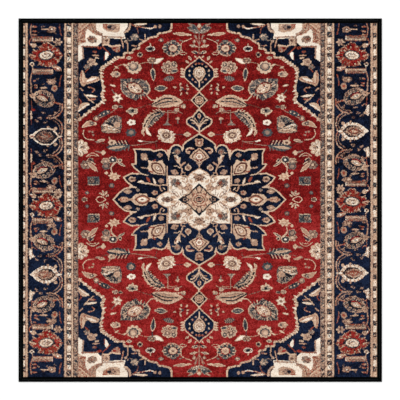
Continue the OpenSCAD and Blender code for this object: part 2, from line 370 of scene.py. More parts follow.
# ---------------------------------------------------------------- the field, for one quarter
def draw_field(c):
    """All figures between the side guards, for the quarter with X and Y positive."""
    # vines first, so that the flowers lie over them
    each(c.curve, ((37, 811, 60, 803, 84, 792, 92, 780, 92, 762, 84, 745), 3.2, CREAM),
         ((92, 776, 98, 745, 118, 728, 140, 722, 160, 730), 3.4, CREAM),
         ((246, 786, 246, 772), 3, CREAM), ((300, 682, 280, 688, 262, 690, 242, 690), 3, TAN),
         ((235, 690, 236, 675, 235, 655, 232, 640), 3.4, SLATE),
         ((356, 676, 390, 678, 415, 668, 432, 650), 2.6, TAN),
         ((238, 481, 270, 473, 300, 463, 330, 455), 3, BROWN),
         ((172, 440, 155, 438, 135, 438, 112, 436), 3, TAN),
         ((158, 446, 158, 425, 158, 400, 161, 384), 4, DUSK),
         ((341, 272, 310, 275, 270, 281, 235, 288, 212, 296), 3, DUSK),
         ((296, 296, 262, 291, 229, 290), 3, DUSK), ((224, 290, 216, 276, 214, 262), 3, BROWN),
         ((402, 274, 440, 276, 470, 280, 500, 288), 2.6, BROWN),
         ((580, 351, 585, 330, 575, 312, 560, 303, 530, 300), 3.6, CREAM),
         ((428, 448, 446, 438, 470, 425, 500, 412, 515, 406), 3.2, DUSK),
         ((416, 190, 434, 172, 442, 158, 440, 140, 430, 122), 4, CREAM),
         ((120, 492, 90, 500, 60, 500, 38, 503), 2.6, BROWN))

    # centre line: palmette and plant over the pendant
    for side in (-1, 1):
        c.put(flip_x=side)
        c.leaf(10, 836, 62, 868, 26, (CREAM, DUSK, GREY), (SLATE, DUSK), INK, bend=side * 6)
        c.leaf(6, 836, 40, 884, 26, GREY, SLATE, INK)
        c.leaf(4, 838, 26, 858, 12, (IVORY, GREY), (GREY, DUSK))
        c.blade(30, 872, 58, 888, 9, DUSK)
    c.put()
    c.blade(0, 832, 0, 892, 26, GREY)
    c.blade(0, 846, 0, 892, 18, RUST)
    c.oval(0, 874, 8, 9, CREAM)
    c.line((98, 876, 116, 877), 3, RUST)
    c.line((0, 832, 0, 760, 0, 735), 3.4, DUSK)
    for side in (-1, 1):
        c.put(flip_x=side)
        c.curve((0, 780, 18, 812, 26, 826), 2.8, DUSK)
        c.curve((0, 765, 22, 776, 34, 800), 2.8, TAN)
        c.leaf(8, 768, 50, 777, 12, CREAM, GREY)
        c.oval(25, 796, 8, 9, DUSK)
        c.oval(24, 797, 4, 5, CREAM)
        c.leaf(4, 738, 38, 744, 14, CREAM, SLATE)
        c.blade(10, 806, 22, 832, 6, DUSK)
        c.blade(0, 724, 22, 738, 6, INK)
        c.leaf(38, 702, 56, 722, 13, CREAM, DUSK)
        c.leaf(50, 686, 70, 700, 10, CREAM, DUSK)
        c.blade(12, 712, 24, 724, 7, CREAM)
    c.put()

    # flowers either side of the centre line
    c.blade(36, 828, 88, 832, 9, CREAM)
    c.leaf(62, 832, 134, 838, 17, CREAM, TAN, DUSK, bend=-2, fat=0.4)
    c.blossom(192, 802, 13, 9, 4, GREY, SLATE, CREAM, BARE)
    c.blade(84, 798, 102, 802, 8, GREY)
    c.lobes(137, 762, 50, 36, 11, (CREAM, GREY, DUSK), 0.2)
    c.lobes(137, 761, 46, 33, 11, (SLATE, GREY, INK), 0.2)
    for k, a in spokes(11):
        c.blade(*round_at((136, 762), 19, 15, a),
                *round_at((136, 762), 42, 30, a), 9, COAL)
        c.blade(*round_at((136, 762), 30, 20, a + 0.3),
                *round_at((136, 762), 47, 34, a + 0.3), 5,
                (CREAM, (GREY, DUSK))[k % 2])
    c.oval(132, 762, 24, 20, CRIMSON)
    c.oval(132, 761, 20, 17, CREAM)
    c.lobes(133, 762, 10, 8, 5, DUSK, 0.3)
    c.oval(133, 765, 5, 3, BROWN)
    c.leaf(112, 796, 150, 798, 14, SLATE, GREY)
    c.curve((92, 785, 92, 760, 100, 740, 120, 727, 140, 723), 3.4, CREAM)
    c.leaf(62, 735, 102, 735, 17, CREAM, CRIMSON)
    c.blossom(246, 759, 24, 14, 2, IVORY, GREY, INK, BARE, depth=0.1)
    c.blossom(298, 729, 14, 13, 4, CREAM, DUSK, INK, BARE)
    c.leaf(338, 713, 368, 713, 16, CREAM, GREY)

    # curled leaf with its flower, and the bud that hangs from it
    c.leaf(178, 712, 262, 706, 24, CREAM, IVORY, bend=-14, fat=0.45)
    c.blossom(238, 700, 22, 15, 6, CREAM, DUSK, BROWN, TAN)
    c.leaf(235, 664, 229, 594, 25, CREAM, SLATE, INK, fat=0.4)

    # flower cluster and the leaves under it
    c.lobes(150, 664, 42, 33, 9, CREAM, 0.22)
    c.lobes(150, 664, 37, 28, 9, DUSK, 0.22)
    for x, y, r, body, eye in ((160, 672, 19, DUSK, BROWN), (128, 680, 15, GREY, SLATE),
                               (170, 652, 13, TAN, BROWN), (148, 650, 13, TAN, RUST)):
        c.blossom(x, y, r, r, 5, CREAM, body, eye)
    c.leaf(106, 648, 145, 646, 19, CREAM, SLATE)
    c.feather(126, 614, 182, 603, 26, SLATE, DUSK, 5)
    c.leaf(160, 562, 226, 558, 30, CREAM, SLATE, GREY)
    for dx, dy, length, turn in ((0, 0, 20, 30), (-22, 6, 16, 80), (16, 14, 18, 110),
                                 (22, -10, 18, 160), (-14, -16, 16, 230), (-30, -4, 14, 20),
                                 (6, -20, 15, 300), (34, 6, 16, 10)):
        tip = at((81 + dx, 558 + dy), length, 0, turn)
        c.leaf(81 + dx, 558 + dy, *tip, 9, CREAM, DUSK)
    c.oval(84, 556, 6, 5, SLATE)
    c.oval(70, 548, 4, 4, INK)

    # flowers by the corner piece
    c.lobes(330, 664, 38, 33, 9, CREAM, 0.26)
    c.lobes(331, 668, 26, 22, 9, SLATE, 0.15)
    c.oval(331, 670, 19, 17, DUSK)
    c.oval(333, 672, 12, 11, CREAM)
    each(c.blade, (362, 672, 384, 682, 10, CREAM), (300, 650, 290, 668, 10, CREAM),
         (404, 659, 428, 672, 8, CREAM))
    c.lobes(421, 631, 26, 16, 7, CREAM)
    c.lobes(421, 631, 20, 11, 7, DUSK)
    c.oval(412, 632, 5, 5, SLATE)
    c.oval(430, 630, 6, 5, CREAM)

    # large palmette: dark mottled petals, light strokes in them, and a leaning peach heart
    petals = [(397, 608), (340, 609), (298, 607), (268, 596), (251, 573), (248, 550), (264, 526),
              (291, 520), (319, 497), (355, 515), (379, 533), (392, 556), (394, 579)]
    c.fill(petals, (SLATE, INK, GREY, SLATE, DUSK))
    c.line([petals[12], petals[11], petals[10], petals[9]], 5, (CREAM, GREY))
    c.line(petals[3:7], 6, PEACH)
    for k, a in spokes(17):
        c.line((*round_at((322, 558), 46, 30, a, 28), *round_at((322, 558), 66, 46, a + 0.15, 28)), 4.4,
               (CREAM, STONE, CREAM, INK)[k % 4])
    c.oval(322, 560, 46, 28, (CRIMSON, BROWN), 28)
    c.fill((357, 580, 329, 585, 304, 577, 288, 553, 294, 539, 319, 535, 347, 547, 357, 562), CREAM)
    c.fill((350, 574, 328, 578, 308, 571, 296, 552, 302, 543, 320, 541, 344, 552), (CREAM, IVORY, TAN))
    for p in ((341, 564), (329, 569), (305, 548)):
        c.oval(*p, 5, 4, BROWN)
    c.oval(326, 576, 7, 4, RUST)
    c.leaf(418, 570, 452, 578, 10, CREAM, IVORY)

    # star flower and its stalk
    c.line((440, 552, 420, 526), 5, GREY)
    c.spikes(412, 512, 29, 27, 6, CREAM, 0.42, 12)
    c.spikes(412, 512, 20, 18, 6, IVORY, 0.4, 12)
    c.oval(412, 512, 9, 8, DUSK)
    c.oval(412, 512, 4, 3, BROWN)

    # large leaf beside the small diamond
    c.blade(244, 472, 80, 491, 62, (CREAM, CREAM, TAN), bend=-14, fat=0.5)
    for k in range(5):
        c.line((216 - 16 * k, 500 + 3.2 * k, 212 - 16 * k, 511 + 2.6 * k), 6, CREAM)
    for k in range(8):
        c.line((206 - 14 * k, 478 - k, 200 - 14 * k, 468 + k * 0.5), 6, CREAM)
    c.blade(238, 474, 92, 492, 44, (TAN, CREAM, TAN, DUSK), bend=-14, fat=0.5)
    each(c.curve, ((240, 474, 212, 490, 176, 508, 136, 508), 6.5, INK),
         ((222, 474, 190, 486, 150, 494, 110, 494), 5.5, COAL),
         ((214, 470, 180, 474, 150, 480), 3.6, BARK),
         ((261, 520, 248, 506, 238, 500, 216, 500), 5, CREAM))

    # small flowers of the inner field
    c.blossom(398, 467, 15, 7, 3, DUSK, SLATE, INK, BARE)
    c.blossom(424, 465, 15, 11, 3, CREAM, TAN, DUSK, BARE)
    c.feather(448, 446, 512, 420, 26, SLATE, INK, 4)
    for t in (0.2, 0.5, 0.8):
        c.oval(448 + 64 * t, 446 - 26 * t, 4, 4, CREAM)
    c.blossom(518, 408, 15, 14, 4, DUSK, GREY, CREAM, BARE)
    c.leaf(514, 380, 592, 362, 27, CREAM, TAN, bend=12, fat=0.45)
    c.blossom(541, 384, 14, 13, 5, TAN, GREY, SLATE, CREAM)
    c.lobes(337, 445, 32, 18, 5, CREAM, 0.3)
    c.blade(337, 445, 336, 418, 14, CREAM)
    c.lobes(337, 446, 25, 12, 5, GREY, 0.3)
    c.oval(334, 447, 9, 7, INK)
    c.oval(325, 444, 5, 4, CREAM)
    c.lobes(341, 388, 22, 15, 5, IVORY)
    c.oval(341, 388, 7, 5, DUSK)
    c.lobes(343, 337, 27, 22, 8, SLATE, 0.22)
    c.oval(343, 338, 14, 12, GREY)
    c.oval(342, 338, 10, 9, DUSK)

    # fan-shaped palmette
    c.fill((392, 408, 412, 424, 440, 420, 466, 400, 496, 372, 488, 340, 462, 334, 400, 336, 390, 362),
           (SLATE, INK, DUSK, GREY))
    c.blade(398, 346, 494, 346, 26, (CREAM, TAN, CREAM), bend=4)
    c.blade(420, 352, 492, 374, 24, (CREAM, IVORY, TAN), bend=4)
    c.blade(436, 368, 474, 398, 16, (TAN, DUSK, CREAM))
    c.blade(408, 388, 402, 420, 15, STONE)
    for ends in ((410, 346, 480, 343), (430, 356, 482, 370), (418, 362, 470, 384), (432, 376, 462, 398),
                 (404, 366, 412, 402), (424, 392, 432, 414)):
        c.line(ends, 3.6, INK)
    c.line((392, 410, 414, 422, 440, 418, 464, 399), 3.6, (CREAM, TAN, SLATE))
    c.lobes(413, 376, 17, 16, 5, PEACH, 0.2)
    c.oval(414, 377, 8, 8, BUFF)
    c.blade(436, 372, 470, 392, 12, INK)

    # sickle leaf
    c.blade(170, 444, 286, 338, 42, (CREAM, TAN, CREAM), bend=24, fat=0.5)
    c.blade(172, 440, 268, 352, 32, (INK, GREY, SLATE, DUSK), bend=12, fat=0.45)
    each(c.curve, ((196, 442, 232, 430, 258, 404, 276, 368), 8, INK),
         ((186, 432, 214, 420, 236, 398, 254, 366), 6, COAL),
         ((196, 432, 226, 420, 246, 396, 264, 362), 4, PEACH))
    for k in range(7):
        c.line((192 + 12 * k, 448 - 3 * k * k * 0.6, 203 + 14 * k, 456 - 2.7 * k * k * 0.75), 4, CREAM)
        c.line((204 + 8 * k, 402 - 8 * k, 217 + 8 * k, 414 - 9 * k), 3, (CREAM, GREY)[k % 2])
    c.leaf(290, 350, 276, 318, 13, CREAM, TAN)
    c.leaf(268, 366, 238, 318, 17, CREAM, IVORY, bend=7)
    c.fill((140, 374, 184, 374, 170, 385, 162, 398, 153, 385), STONE)
    c.line((158, 448, 100, 442, 86, 434), 3.4, DUSK)
    for p in ((112, 452), (80, 470)):
        c.lobes(*p, 14, 11, 3, (CREAM, TAN, GREY), 0.3)
    c.lobes(109, 407, 11, 8, 3, PEACH, 0.3)
    c.line((109, 402, 108, 386), 7, (GREY, DUSK))

    # white rosette over the medallion
    c.lobes(166, 320, 48, 31, 4, (CREAM, IVORY, CREAM), 0.18, 40)
    c.lobes(166, 320, 48, 32, 11, (IVORY, CREAM, CREAM), 0.34)
    for k, a in spokes(9):
        c.oval(*round_at((166, 323), 35, 24, a), 4, 3, (TAN, (DUSK, BROWN))[k % 2])
    c.oval(166, 323, 24, 19, DUSK)
    c.lobes(166, 323, 20, 15, 8, BROWN, 0.3)
    c.oval(166, 323, 11, 8, CREAM)
    c.oval(166, 323, 5, 4, BROWN)
    c.line((118, 327, 82, 328), 3, SLATE)
    c.lobes(60, 328, 19, 12, 4, CREAM)
    c.oval(62, 327, 7, 4, TAN)
    c.blade(282, 292, 310, 298, 9, IVORY)

    # long leafy flower
    c.blade(342, 273, 468, 262, 40, SLATE, bend=-4, fat=0.55)
    for k in range(5):
        each(c.line, ((356 + 17 * k, 276, 366 + 17 * k, 296), 4.5, INK),
             ((363 + 17 * k, 276, 374 + 17 * k, 296), 3.6, CREAM),
             ((352 + 16 * k, 268, 358 + 17 * k, 248), 4.5, GREY))
    c.leaf(372, 268, 462, 256, 13, CREAM, TAN)
    c.lobes(441, 288, 19, 14, 5, CREAM)
    c.oval(440, 287, 7, 6, BROWN)
    c.blade(448, 296, 456, 316, 7, TAN)

    # the group at the edge of the field
    c.leaf(472, 300, 512, 296, 14, CREAM, DUSK)
    c.leaf(498, 288, 524, 292, 10, DUSK, GREY)
    for p in ((537, 340), (552, 342), (533, 325)):
        c.oval(*p, 6, 5, DUSK)
    c.lobes(606, 260, 52, 44, 10, CREAM, 0.22)
    c.lobes(606, 260, 44, 36, 10, (IVORY, CREAM, CREAM), 0.22)
    for turn in (100, 130, 155, 205, 230, 260):
        c.line((*at((604, 260), 20, 0, turn), *at((604, 260), 38, 0, turn)), 3, (DUSK, BROWN))
    c.blade(600, 262, 572, 262, 20, DUSK)
    c.blade(600, 262, 582, 262, 10, INK)
    c.oval(589, 258, 4, 5, CREAM)
    c.blade(476, 232, 526, 246, 8, DUSK)
    c.lobes(483, 236, 12, 13, 4, CREAM)

    # leafy flower at the edge
    c.leaf(502, 216, 570, 216, 16, CREAM, CRIMSON, bend=12)
    c.blossom(571, 175, 27, 22, 6, GREY, DUSK, BROWN, CREAM)
    c.blossom(548, 196, 17, 15, 5, CREAM, DUSK, BROWN, BARE)
    c.leaf(560, 186, 510, 140, 22, CREAM, TAN, DUSK)
    c.line((552, 206, 530, 190), 7, NAVY)
    c.line((543, 192, 524, 178), 4, CREAM)

    # curved spray
    each(c.blossom, (470, 191, 23, 19, 6, CREAM, TAN, DUSK, CREAM),
         (434, 200, 24, 19, 6, CREAM, SLATE, INK, IVORY),
         (468, 168, 21, 19, 5, GREY, SLATE, DUSK, BARE), (398, 196, 10, 10, 4, CREAM, SLATE, INK, BARE))
    c.leaf(416, 192, 372, 166, 12, CREAM, SLATE)
    c.curve((424, 188, 440, 172, 444, 155, 438, 135), 4, CREAM)
    c.spikes(428, 116, 34, 22, 7, CREAM, 0.36, 8)
    c.lobes(428, 115, 20, 12, 5, TAN, 0.3)
    c.oval(428, 115, 8, 5, CREAM)
    c.blossom(467, 133, 8, 8, 4, CREAM, CREAM, BARE, BARE)

    # squared flower and buds
    c.fill((502, 74, 560, 74, 564, 116, 502, 114), (GREY, SLATE))
    c.fill((506, 80, 556, 80, 556, 110, 506, 108), (SLATE, INK, SLATE))
    c.line((502, 74, 560, 74), 3, (CREAM, GREY))
    each(c.blossom, (541, 96, 16, 14, 6, GREY, DUSK, INK, DUSK),
         (512, 84, 9, 8, 4, GREY, SLATE, INK, BARE), (441, 70, 14, 12, 5, SLATE, GREY, DUSK, BARE),
         (564, 34, 10, 10, 4, SLATE, GREY, BARE, BARE))
    for ends in ((478, 20, 506, 34), (478, 20, 462, 44), (482, 26, 486, 50), (470, 14, 454, 26)):
        c.leaf(*ends, 9, CREAM, SLATE)
    c.blossom(577, 0, 15, 12, 5, CREAM, DUSK, BROWN, BARE)
    c.curve((470, 0, 486, 12, 505, 14, 520, 0), 3.6, CREAM)


# ---------------------------------------------------------------- the medallion, for one quarter
def draw_medallion(c):
    """The figures inside the medallion's navy ring and its rosette."""
    # cream wedges that run in from the notches of the outline
    c.fill((163, 250, 148, 252, 154, 190), CREAM)
    c.fill((92, 262, 78, 262, 86, 238), CREAM)
    c.line((290, 129, 258, 122), 5, CREAM)
    c.line((349, 67, 318, 61), 8, CREAM)

    # north lobe
    c.lobes(0, 286, 27, 21, 4, TAN, 0.3, 45)
    c.lobes(0, 286, 19, 14, 4, (DUSK, RUST, BROWN), 0.3, 45)
    c.oval(0, 285, 7, 6, CREAM)
    c.curve((27, 255, 49, 259, 65, 250, 63, 238, 54, 232, 48, 240), 7, SAND)
    c.curve((34, 252, 50, 254, 59, 246), 3, RUST)
    c.lobes(54, 236, 8, 7, 4, TAN)
    each(c.fill, ((0, 262, 30, 240, 52, 212, 26, 198, 0, 180), PEACH),
         ((0, 254, 24, 236, 41, 213, 20, 200, 0, 188), (BROWN, WINE, BROWN)),
         ((0, 247, 19, 232, 33, 213, 16, 203, 0, 194), CREAM))
    each(c.lobes, (0, 216, 22, 20, 6, RUST), (0, 216, 17, 15, 6, IVORY),
         (0, 216, 9, 8, 5, (TAN, BROWN), 0.3))

    # small lobe, the tulip under it and two flowers
    each(c.oval, (113, 241, 19, 17, SLATE), (110, 240, 14, 13, (DUSK, BROWN)), (109, 240, 7, 7, HEART))
    c.line((136, 234, 126, 236), 4, CREAM)
    c.fill((128, 222, 112, 226, 104, 208, 92, 214, 96, 192, 98, 174, 106, 180, 118, 196), CREAM)
    c.oval(118, 206, 5, 9, HEART, -20)
    c.oval(108, 212, 5, 6, IVORY)
    c.curve((100, 182, 92, 164, 86, 148, 83, 128, 84, 118), 7, SAND)
    c.line((92, 170, 72, 186), 8, TAN)
    c.curve((126, 167, 112, 168, 98, 160), 4.5, CREAM)
    c.lobes(124, 138, 20, 14, 4, FAWN, 0.25, 20)
    c.oval(118, 142, 6, 4, BROWN)
    c.fill((56, 180, 72, 164, 70, 150, 54, 144, 40, 150, 40, 164), CREAM)
    c.fill((56, 175, 67, 162, 65, 153, 54, 149, 45, 153, 45, 162), (BROWN, TAN, DUSK))
    each(c.oval, (56, 159, 5, 5, HEART), (75, 124, 20, 13, TAN, 10), (75, 124, 13, 8, NAVY, 10),
         (70, 122, 4, 4, CREAM))

    # diagonal lobe
    c.lobes(277, 215, 22, 18, 4, FAWN, 0.28, 45)
    c.oval(272, 206, 7, 6, CREAM)
    c.lobes(198, 224, 14, 12, 4, BUFF)
    c.oval(194, 224, 6, 5, HEART)
    c.oval(203, 218, 5, 4, GREY)
    c.line((292, 161, 264, 158), 8, (SLATE, DUSK, TAN))
    c.fill((259, 201, 244, 194, 226, 196, 212, 190, 200, 196, 186, 200, 180, 184, 172, 172, 170, 122,
           214, 127, 242, 131, 262, 158, 254, 176), CREAM)
    c.line((232, 192, 222, 200), 7, RUST)
    c.line((252, 142, 232, 138), 6, RUST)
    c.blade(240, 183, 174, 127, 52, (BROWN, WINE, BROWN), fat=0.42)
    c.blade(232, 176, 180, 132, 37, CREAM, fat=0.42)
    c.blade(226, 171, 190, 141, 27, (TAN, DUSK, BROWN), fat=0.45)
    c.oval(211, 158, 10, 8, PEARL, 40)
    c.oval(210, 157, 4, 4, (TAN, GREY))
    c.line((162, 166, 162, 70), 6, PEACH)
    c.line((170, 164, 168, 148), 4, BROWN)

    # side lobe
    c.lobes(338, 103, 19, 15, 5, (DUSK, CREAM, TAN))
    c.oval(338, 103, 8, 6, BROWN)
    c.oval(323, 100, 6, 6, HEART)
    c.leaf(267, 116, 246, 86, 13, RUST, RUST)
    c.leaf(312, 87, 272, 84, 13, CREAM, IVORY, bend=-5)
    c.curve((290, 86, 272, 82, 250, 80, 220, 72), 7, CREAM)
    c.leaf(232, 110, 218, 72, 12, CREAM, IVORY)
    c.curve((224, 78, 208, 72, 196, 72, 176, 74, 157, 72), 5.5, PEACH)
    c.lobes(191, 94, 15, 13, 5, FAWN)
    c.curve((198, 72, 196, 56, 188, 44, 156, 41), 6, TAN)
    c.oval(169, 55, 15, 9, NAVY, -10)
    c.blade(184, 62, 172, 48, 6, CREAM)

    # east tip
    c.lobes(360, 40, 21, 12, 4, FAWN, 0.2)
    c.oval(362, 40, 7, 4, CREAM)
    c.lobes(309, 48, 10, 9, 4, STONE)
    c.lobes(223, 34, 16, 13, 5, BUFF)
    c.oval(220, 36, 6, 5, HEART)
    c.fill((346, 0, 322, 26, 300, 30, 266, 30, 256, 12, 232, 8, 212, 0), (CREAM, TAN, CREAM))
    each(c.blade, (324, 0, 246, 0, 48, BROWN), (318, 0, 252, 0, 37, RUST), (314, 0, 256, 0, 29, CREAM))
    c.oval(286, 0, 19, 9, IVORY)
    c.oval(288, 0, 9, 5, (TAN, BROWN))
    c.lobes(380, 0, 28, 15, 5, TAN)
    c.lobes(380, 0, 20, 10, 5, (CREAM, RUST, TAN))
    c.line((352, 0, 338, 0), 8, TAN)

    # ivory rosette: pointed petals with a tan rim, and a flower in every petal
    north = [(0, 156), (16, 147), (38, 136), (52, 121), (59, 106), (56, 92)]
    east = [(222, 0), (206, 14), (190, 26), (165, 37), (134, 30), (106, 10)]
    c.fill(north[:5] + [(70, 110), (70, 136), (30, 160), (0, 160)], NAVY)
    c.fill(east[:4] + [(160, 46), (180, 46), (200, 34), (222, 10)], NAVY)
    for line in (smooth(north), smooth(east), [(64, 120), (95, 120), (156, 120), (156, 42)]):
        c.line(line, 4.6, (TAN, CREAM, TAN))
    c.curve((132, 26, 118, 38, 134, 44, 152, 42), 3.4, (TAN, BROWN))
    c.curve((56, 94, 70, 84, 64, 70, 74, 62), 3.4, (TAN, BROWN, DUSK))
    c.line((0, 190, 0, 154), 4.4, SAND)
    c.line((14, 186, 0, 168), 3, SAND)
    c.lobes(0, 113, 30, 20, 7, FLORAL, 0.3)
    c.line((36, 104, 28, 108), 4, BROWN)
    c.blade(-14, 98, 22, 96, 8, BROWN)
    c.lobes(116, 84, 28, 22, 7, FLORAL, 0.25, 20)
    c.lobes(128, 86, 17, 20, 6, (GREY, SLATE, DUSK))
    c.oval(108, 82, 10, 9, EARTH)
    c.lobes(160, 0, 32, 15, 8, FLORAL, 0.22)
    c.oval(162, 0, 15, 6, BROWN)
    # tan shading and lines between the petals
    for p, reach_x, reach_y, turn in (((24, 128), 16, 7, 20), ((40, 92), 13, 9, 50), ((84, 104), 12, 6, 0),
                                      ((140, 104), 9, 6, 0), ((96, 58), 17, 9, 30), ((142, 60), 8, 13, 0),
                                      ((128, 12), 15, 9, 20), ((184, 18), 10, 6, 0), ((14, 92), 12, 5, 0)):
        c.lobes(*p, reach_x, reach_y, 4, (TAN, CREAM, CREAM), 0.35, turn)
    for line in ((70, 112, 78, 96, 72, 84), (146, 112, 136, 100, 142, 90), (92, 76, 84, 64, 92, 50),
                 (110, 62, 122, 52, 140, 52), (20, 136, 34, 124, 52, 120), (144, 24, 132, 30, 120, 28)):
        c.curve(line, 2.8, (BROWN, TAN, DUSK))
    c.curve((64, 120, 60, 104, 66, 88, 50, 80, 44, 62), 6, SAND)
    c.lobes(52, 60, 22, 20, 5, (TAN, CREAM, TAN), 0.3)
    c.curve((46, 74, 56, 60, 48, 46), 4, BROWN)
    c.line((90, 66, 60, 44), 9, BUFF)
    c.curve((136, 40, 126, 30, 118, 22, 106, 14), 5, (DUSK, BROWN, TAN))
    c.curve((118, 40, 108, 30, 100, 12), 4, TAN)
    c.line((84, 92, 70, 84), 5, TAN)

    # star in the middle
    c.fill((0, 0, 0, 82, 34, 50, 62, 52, 60, 34, 84, 18, 106, 0), (CREAM, TAN, CREAM))
    c.line((0, 79, 30, 48, 50, 27), 7, (INK, INK, SLATE))
    c.line((50, 27, 70, 16, 101, 0), 7, (INK, INK, SLATE))
    for box in ((57, 24, 84, 26, 82, 60, 58, 62), (46, 64, 70, 66), (90, 18, 96, 34)):
        c.line(box, 3.2, (BROWN, TAN, DUSK))
    for turn, reach, body, core in ((0, 96, (SLATE, INK, TAN), (INK, DUSK)),
                                    (90, 77, (TAN, DUSK, CREAM), PEACH)):
        for start, stop, width, yarn, fat in ((50, 0, 35, INK, 0.6), (46, 9, 23, body, 0.6),
                                              (38, 17, 11, core, 0.5)):
            c.blade(*at((0, 0), reach - start, 0, turn), *at((0, 0), reach - stop, 0, turn), width,
                    yarn, fat=fat)
    c.line((58, 50, 36, 46, 36, 24), 4, BROWN)
    each(c.lobes, (50, 40, 8, 8, 4, (DUSK, CREAM)), (0, 0, 45, 40, 8, (RUST, TAN, BROWN), 0.2),
         (0, 0, 37, 32, 8, (CREAM, CREAM, TAN), 0.2))
    each(c.oval, (0, 0, 29, 24, EARTH), (0, 0, 23, 19, PEACH), (0, 0, 18, 14, INK), (8, 0, 6, 8, BUFF),
         (-2, 0, 7, 9, HEART))


# ---------------------------------------------------------------- finial, diamond and pendant
def draw_pendant(c):
    """What hangs over the medallion, for one quarter."""
    # finial: an outline, a bud and two pairs of leaves
    c.fill((20, 438, 30, 448, 66, 424, 66, 406, 46, 414, 30, 419), CRIMSON)
    c.line((0, 452, 20, 435, 30, 419, 46, 413, 63, 402, 62, 384, 52, 374, 30, 361, 16, 350, 0, 338), 6.5,
           CREAM)
    c.blade(0, 436, 0, 404, 19, (CREAM, DUSK))
    c.blade(0, 432, 0, 408, 9, EARTH)
    c.line((0, 406, 0, 366), 5, (SLATE, BROWN))
    for side in (-1, 1):
        c.put(flip_x=side)
        each(c.curve, ((4, 366, 16, 384, 30, 398, 42, 400), 6.5, CREAM),
             ((2, 374, 10, 392, 22, 408, 34, 412), 4.5, PEACH),
             ((8, 366, 22, 382, 38, 388), 3.4, BROWN))
        c.line((20, 384, 36, 384), 4, SAND)
    c.put()
    c.line((0, 372, 0, 344), 7, CREAM)
    # diamond: cream, dark, then a round flower
    c.fill((0, 546, 44, 500, 0, 456), CREAM)
    c.fill((0, 537, 36, 500, 0, 463), INK)
    each(c.oval, (0, 500, 26, 25, INK), (0, 500, 22, 21, PEACH), (0, 500, 17, 16, (RUST, BROWN, DUSK)))
    c.lobes(3, 499, 12, 11, 5, (CREAM, DUSK, TAN), 0.3)
    c.oval(3, 500, 4, 4, BROWN)
    for side in (-1, 1):
        c.put(flip_x=side)
        c.line((14, 560, 0, 545), 7, CREAM)
        c.line((0, 456, 12, 444), 6, CREAM)
    c.put()
    # pendant: its cream outline and the flowers round the drop
    c.curve((0, 720, 17, 701, 45, 682, 69, 657, 75, 634, 72, 614, 48, 590, 22, 566, 0, 545), 5, CREAM)
    for y in (657, 645, 633, 620):
        c.blade(72, y - 3, 96, y + 1, 9, CREAM)
    for k, a in spokes(13, 0.5):
        p = round_at((0, 637), (50 - k % 3 * 3), 49, a)
        c.lobes(*p, 5 + k % 3, 5.5, 4, (CREAM, BUFF, CLAY)[k % 3])
    c.lobes(0, 684, 7, 6, 4, CLAY)
    c.fill((0, 592, 18, 608, 32, 632, 26, 656, 0, 670), PEACH)
    c.fill((0, 600, 15, 612, 28, 633, 22, 652, 0, 664), (TAN, BROWN, CREAM))
    c.oval(0, 638, 23, 21, (IVORY, CREAM, CREAM))
    c.curve((0, 652, 11, 648, 14, 638, 8, 628, 0, 626), 3, HEART)
    c.oval(0, 638, 6, 5, (INK, BROWN, DUSK))
    c.line((0, 588, 0, 564), 5, CREAM)


# ---------------------------------------------------------------- corner pieces, for one quarter
# the toothed edge of the corner piece, from the guard to the rug's top
CORNER_EDGE = [(620, 390), (563, 435), (525, 464), (482, 496), (491, 524), (482, 557), (492, 609),
               (495, 646), (485, 666), (462, 681), (436, 699), (415, 713), (380, 715), (376, 737),
               (340, 738), (330, 757), (304, 761), (300, 782), (276, 796), (250, 814), (213, 821),
               (203, 836), (171, 840), (146, 848), (140, 866), (131, 890)]


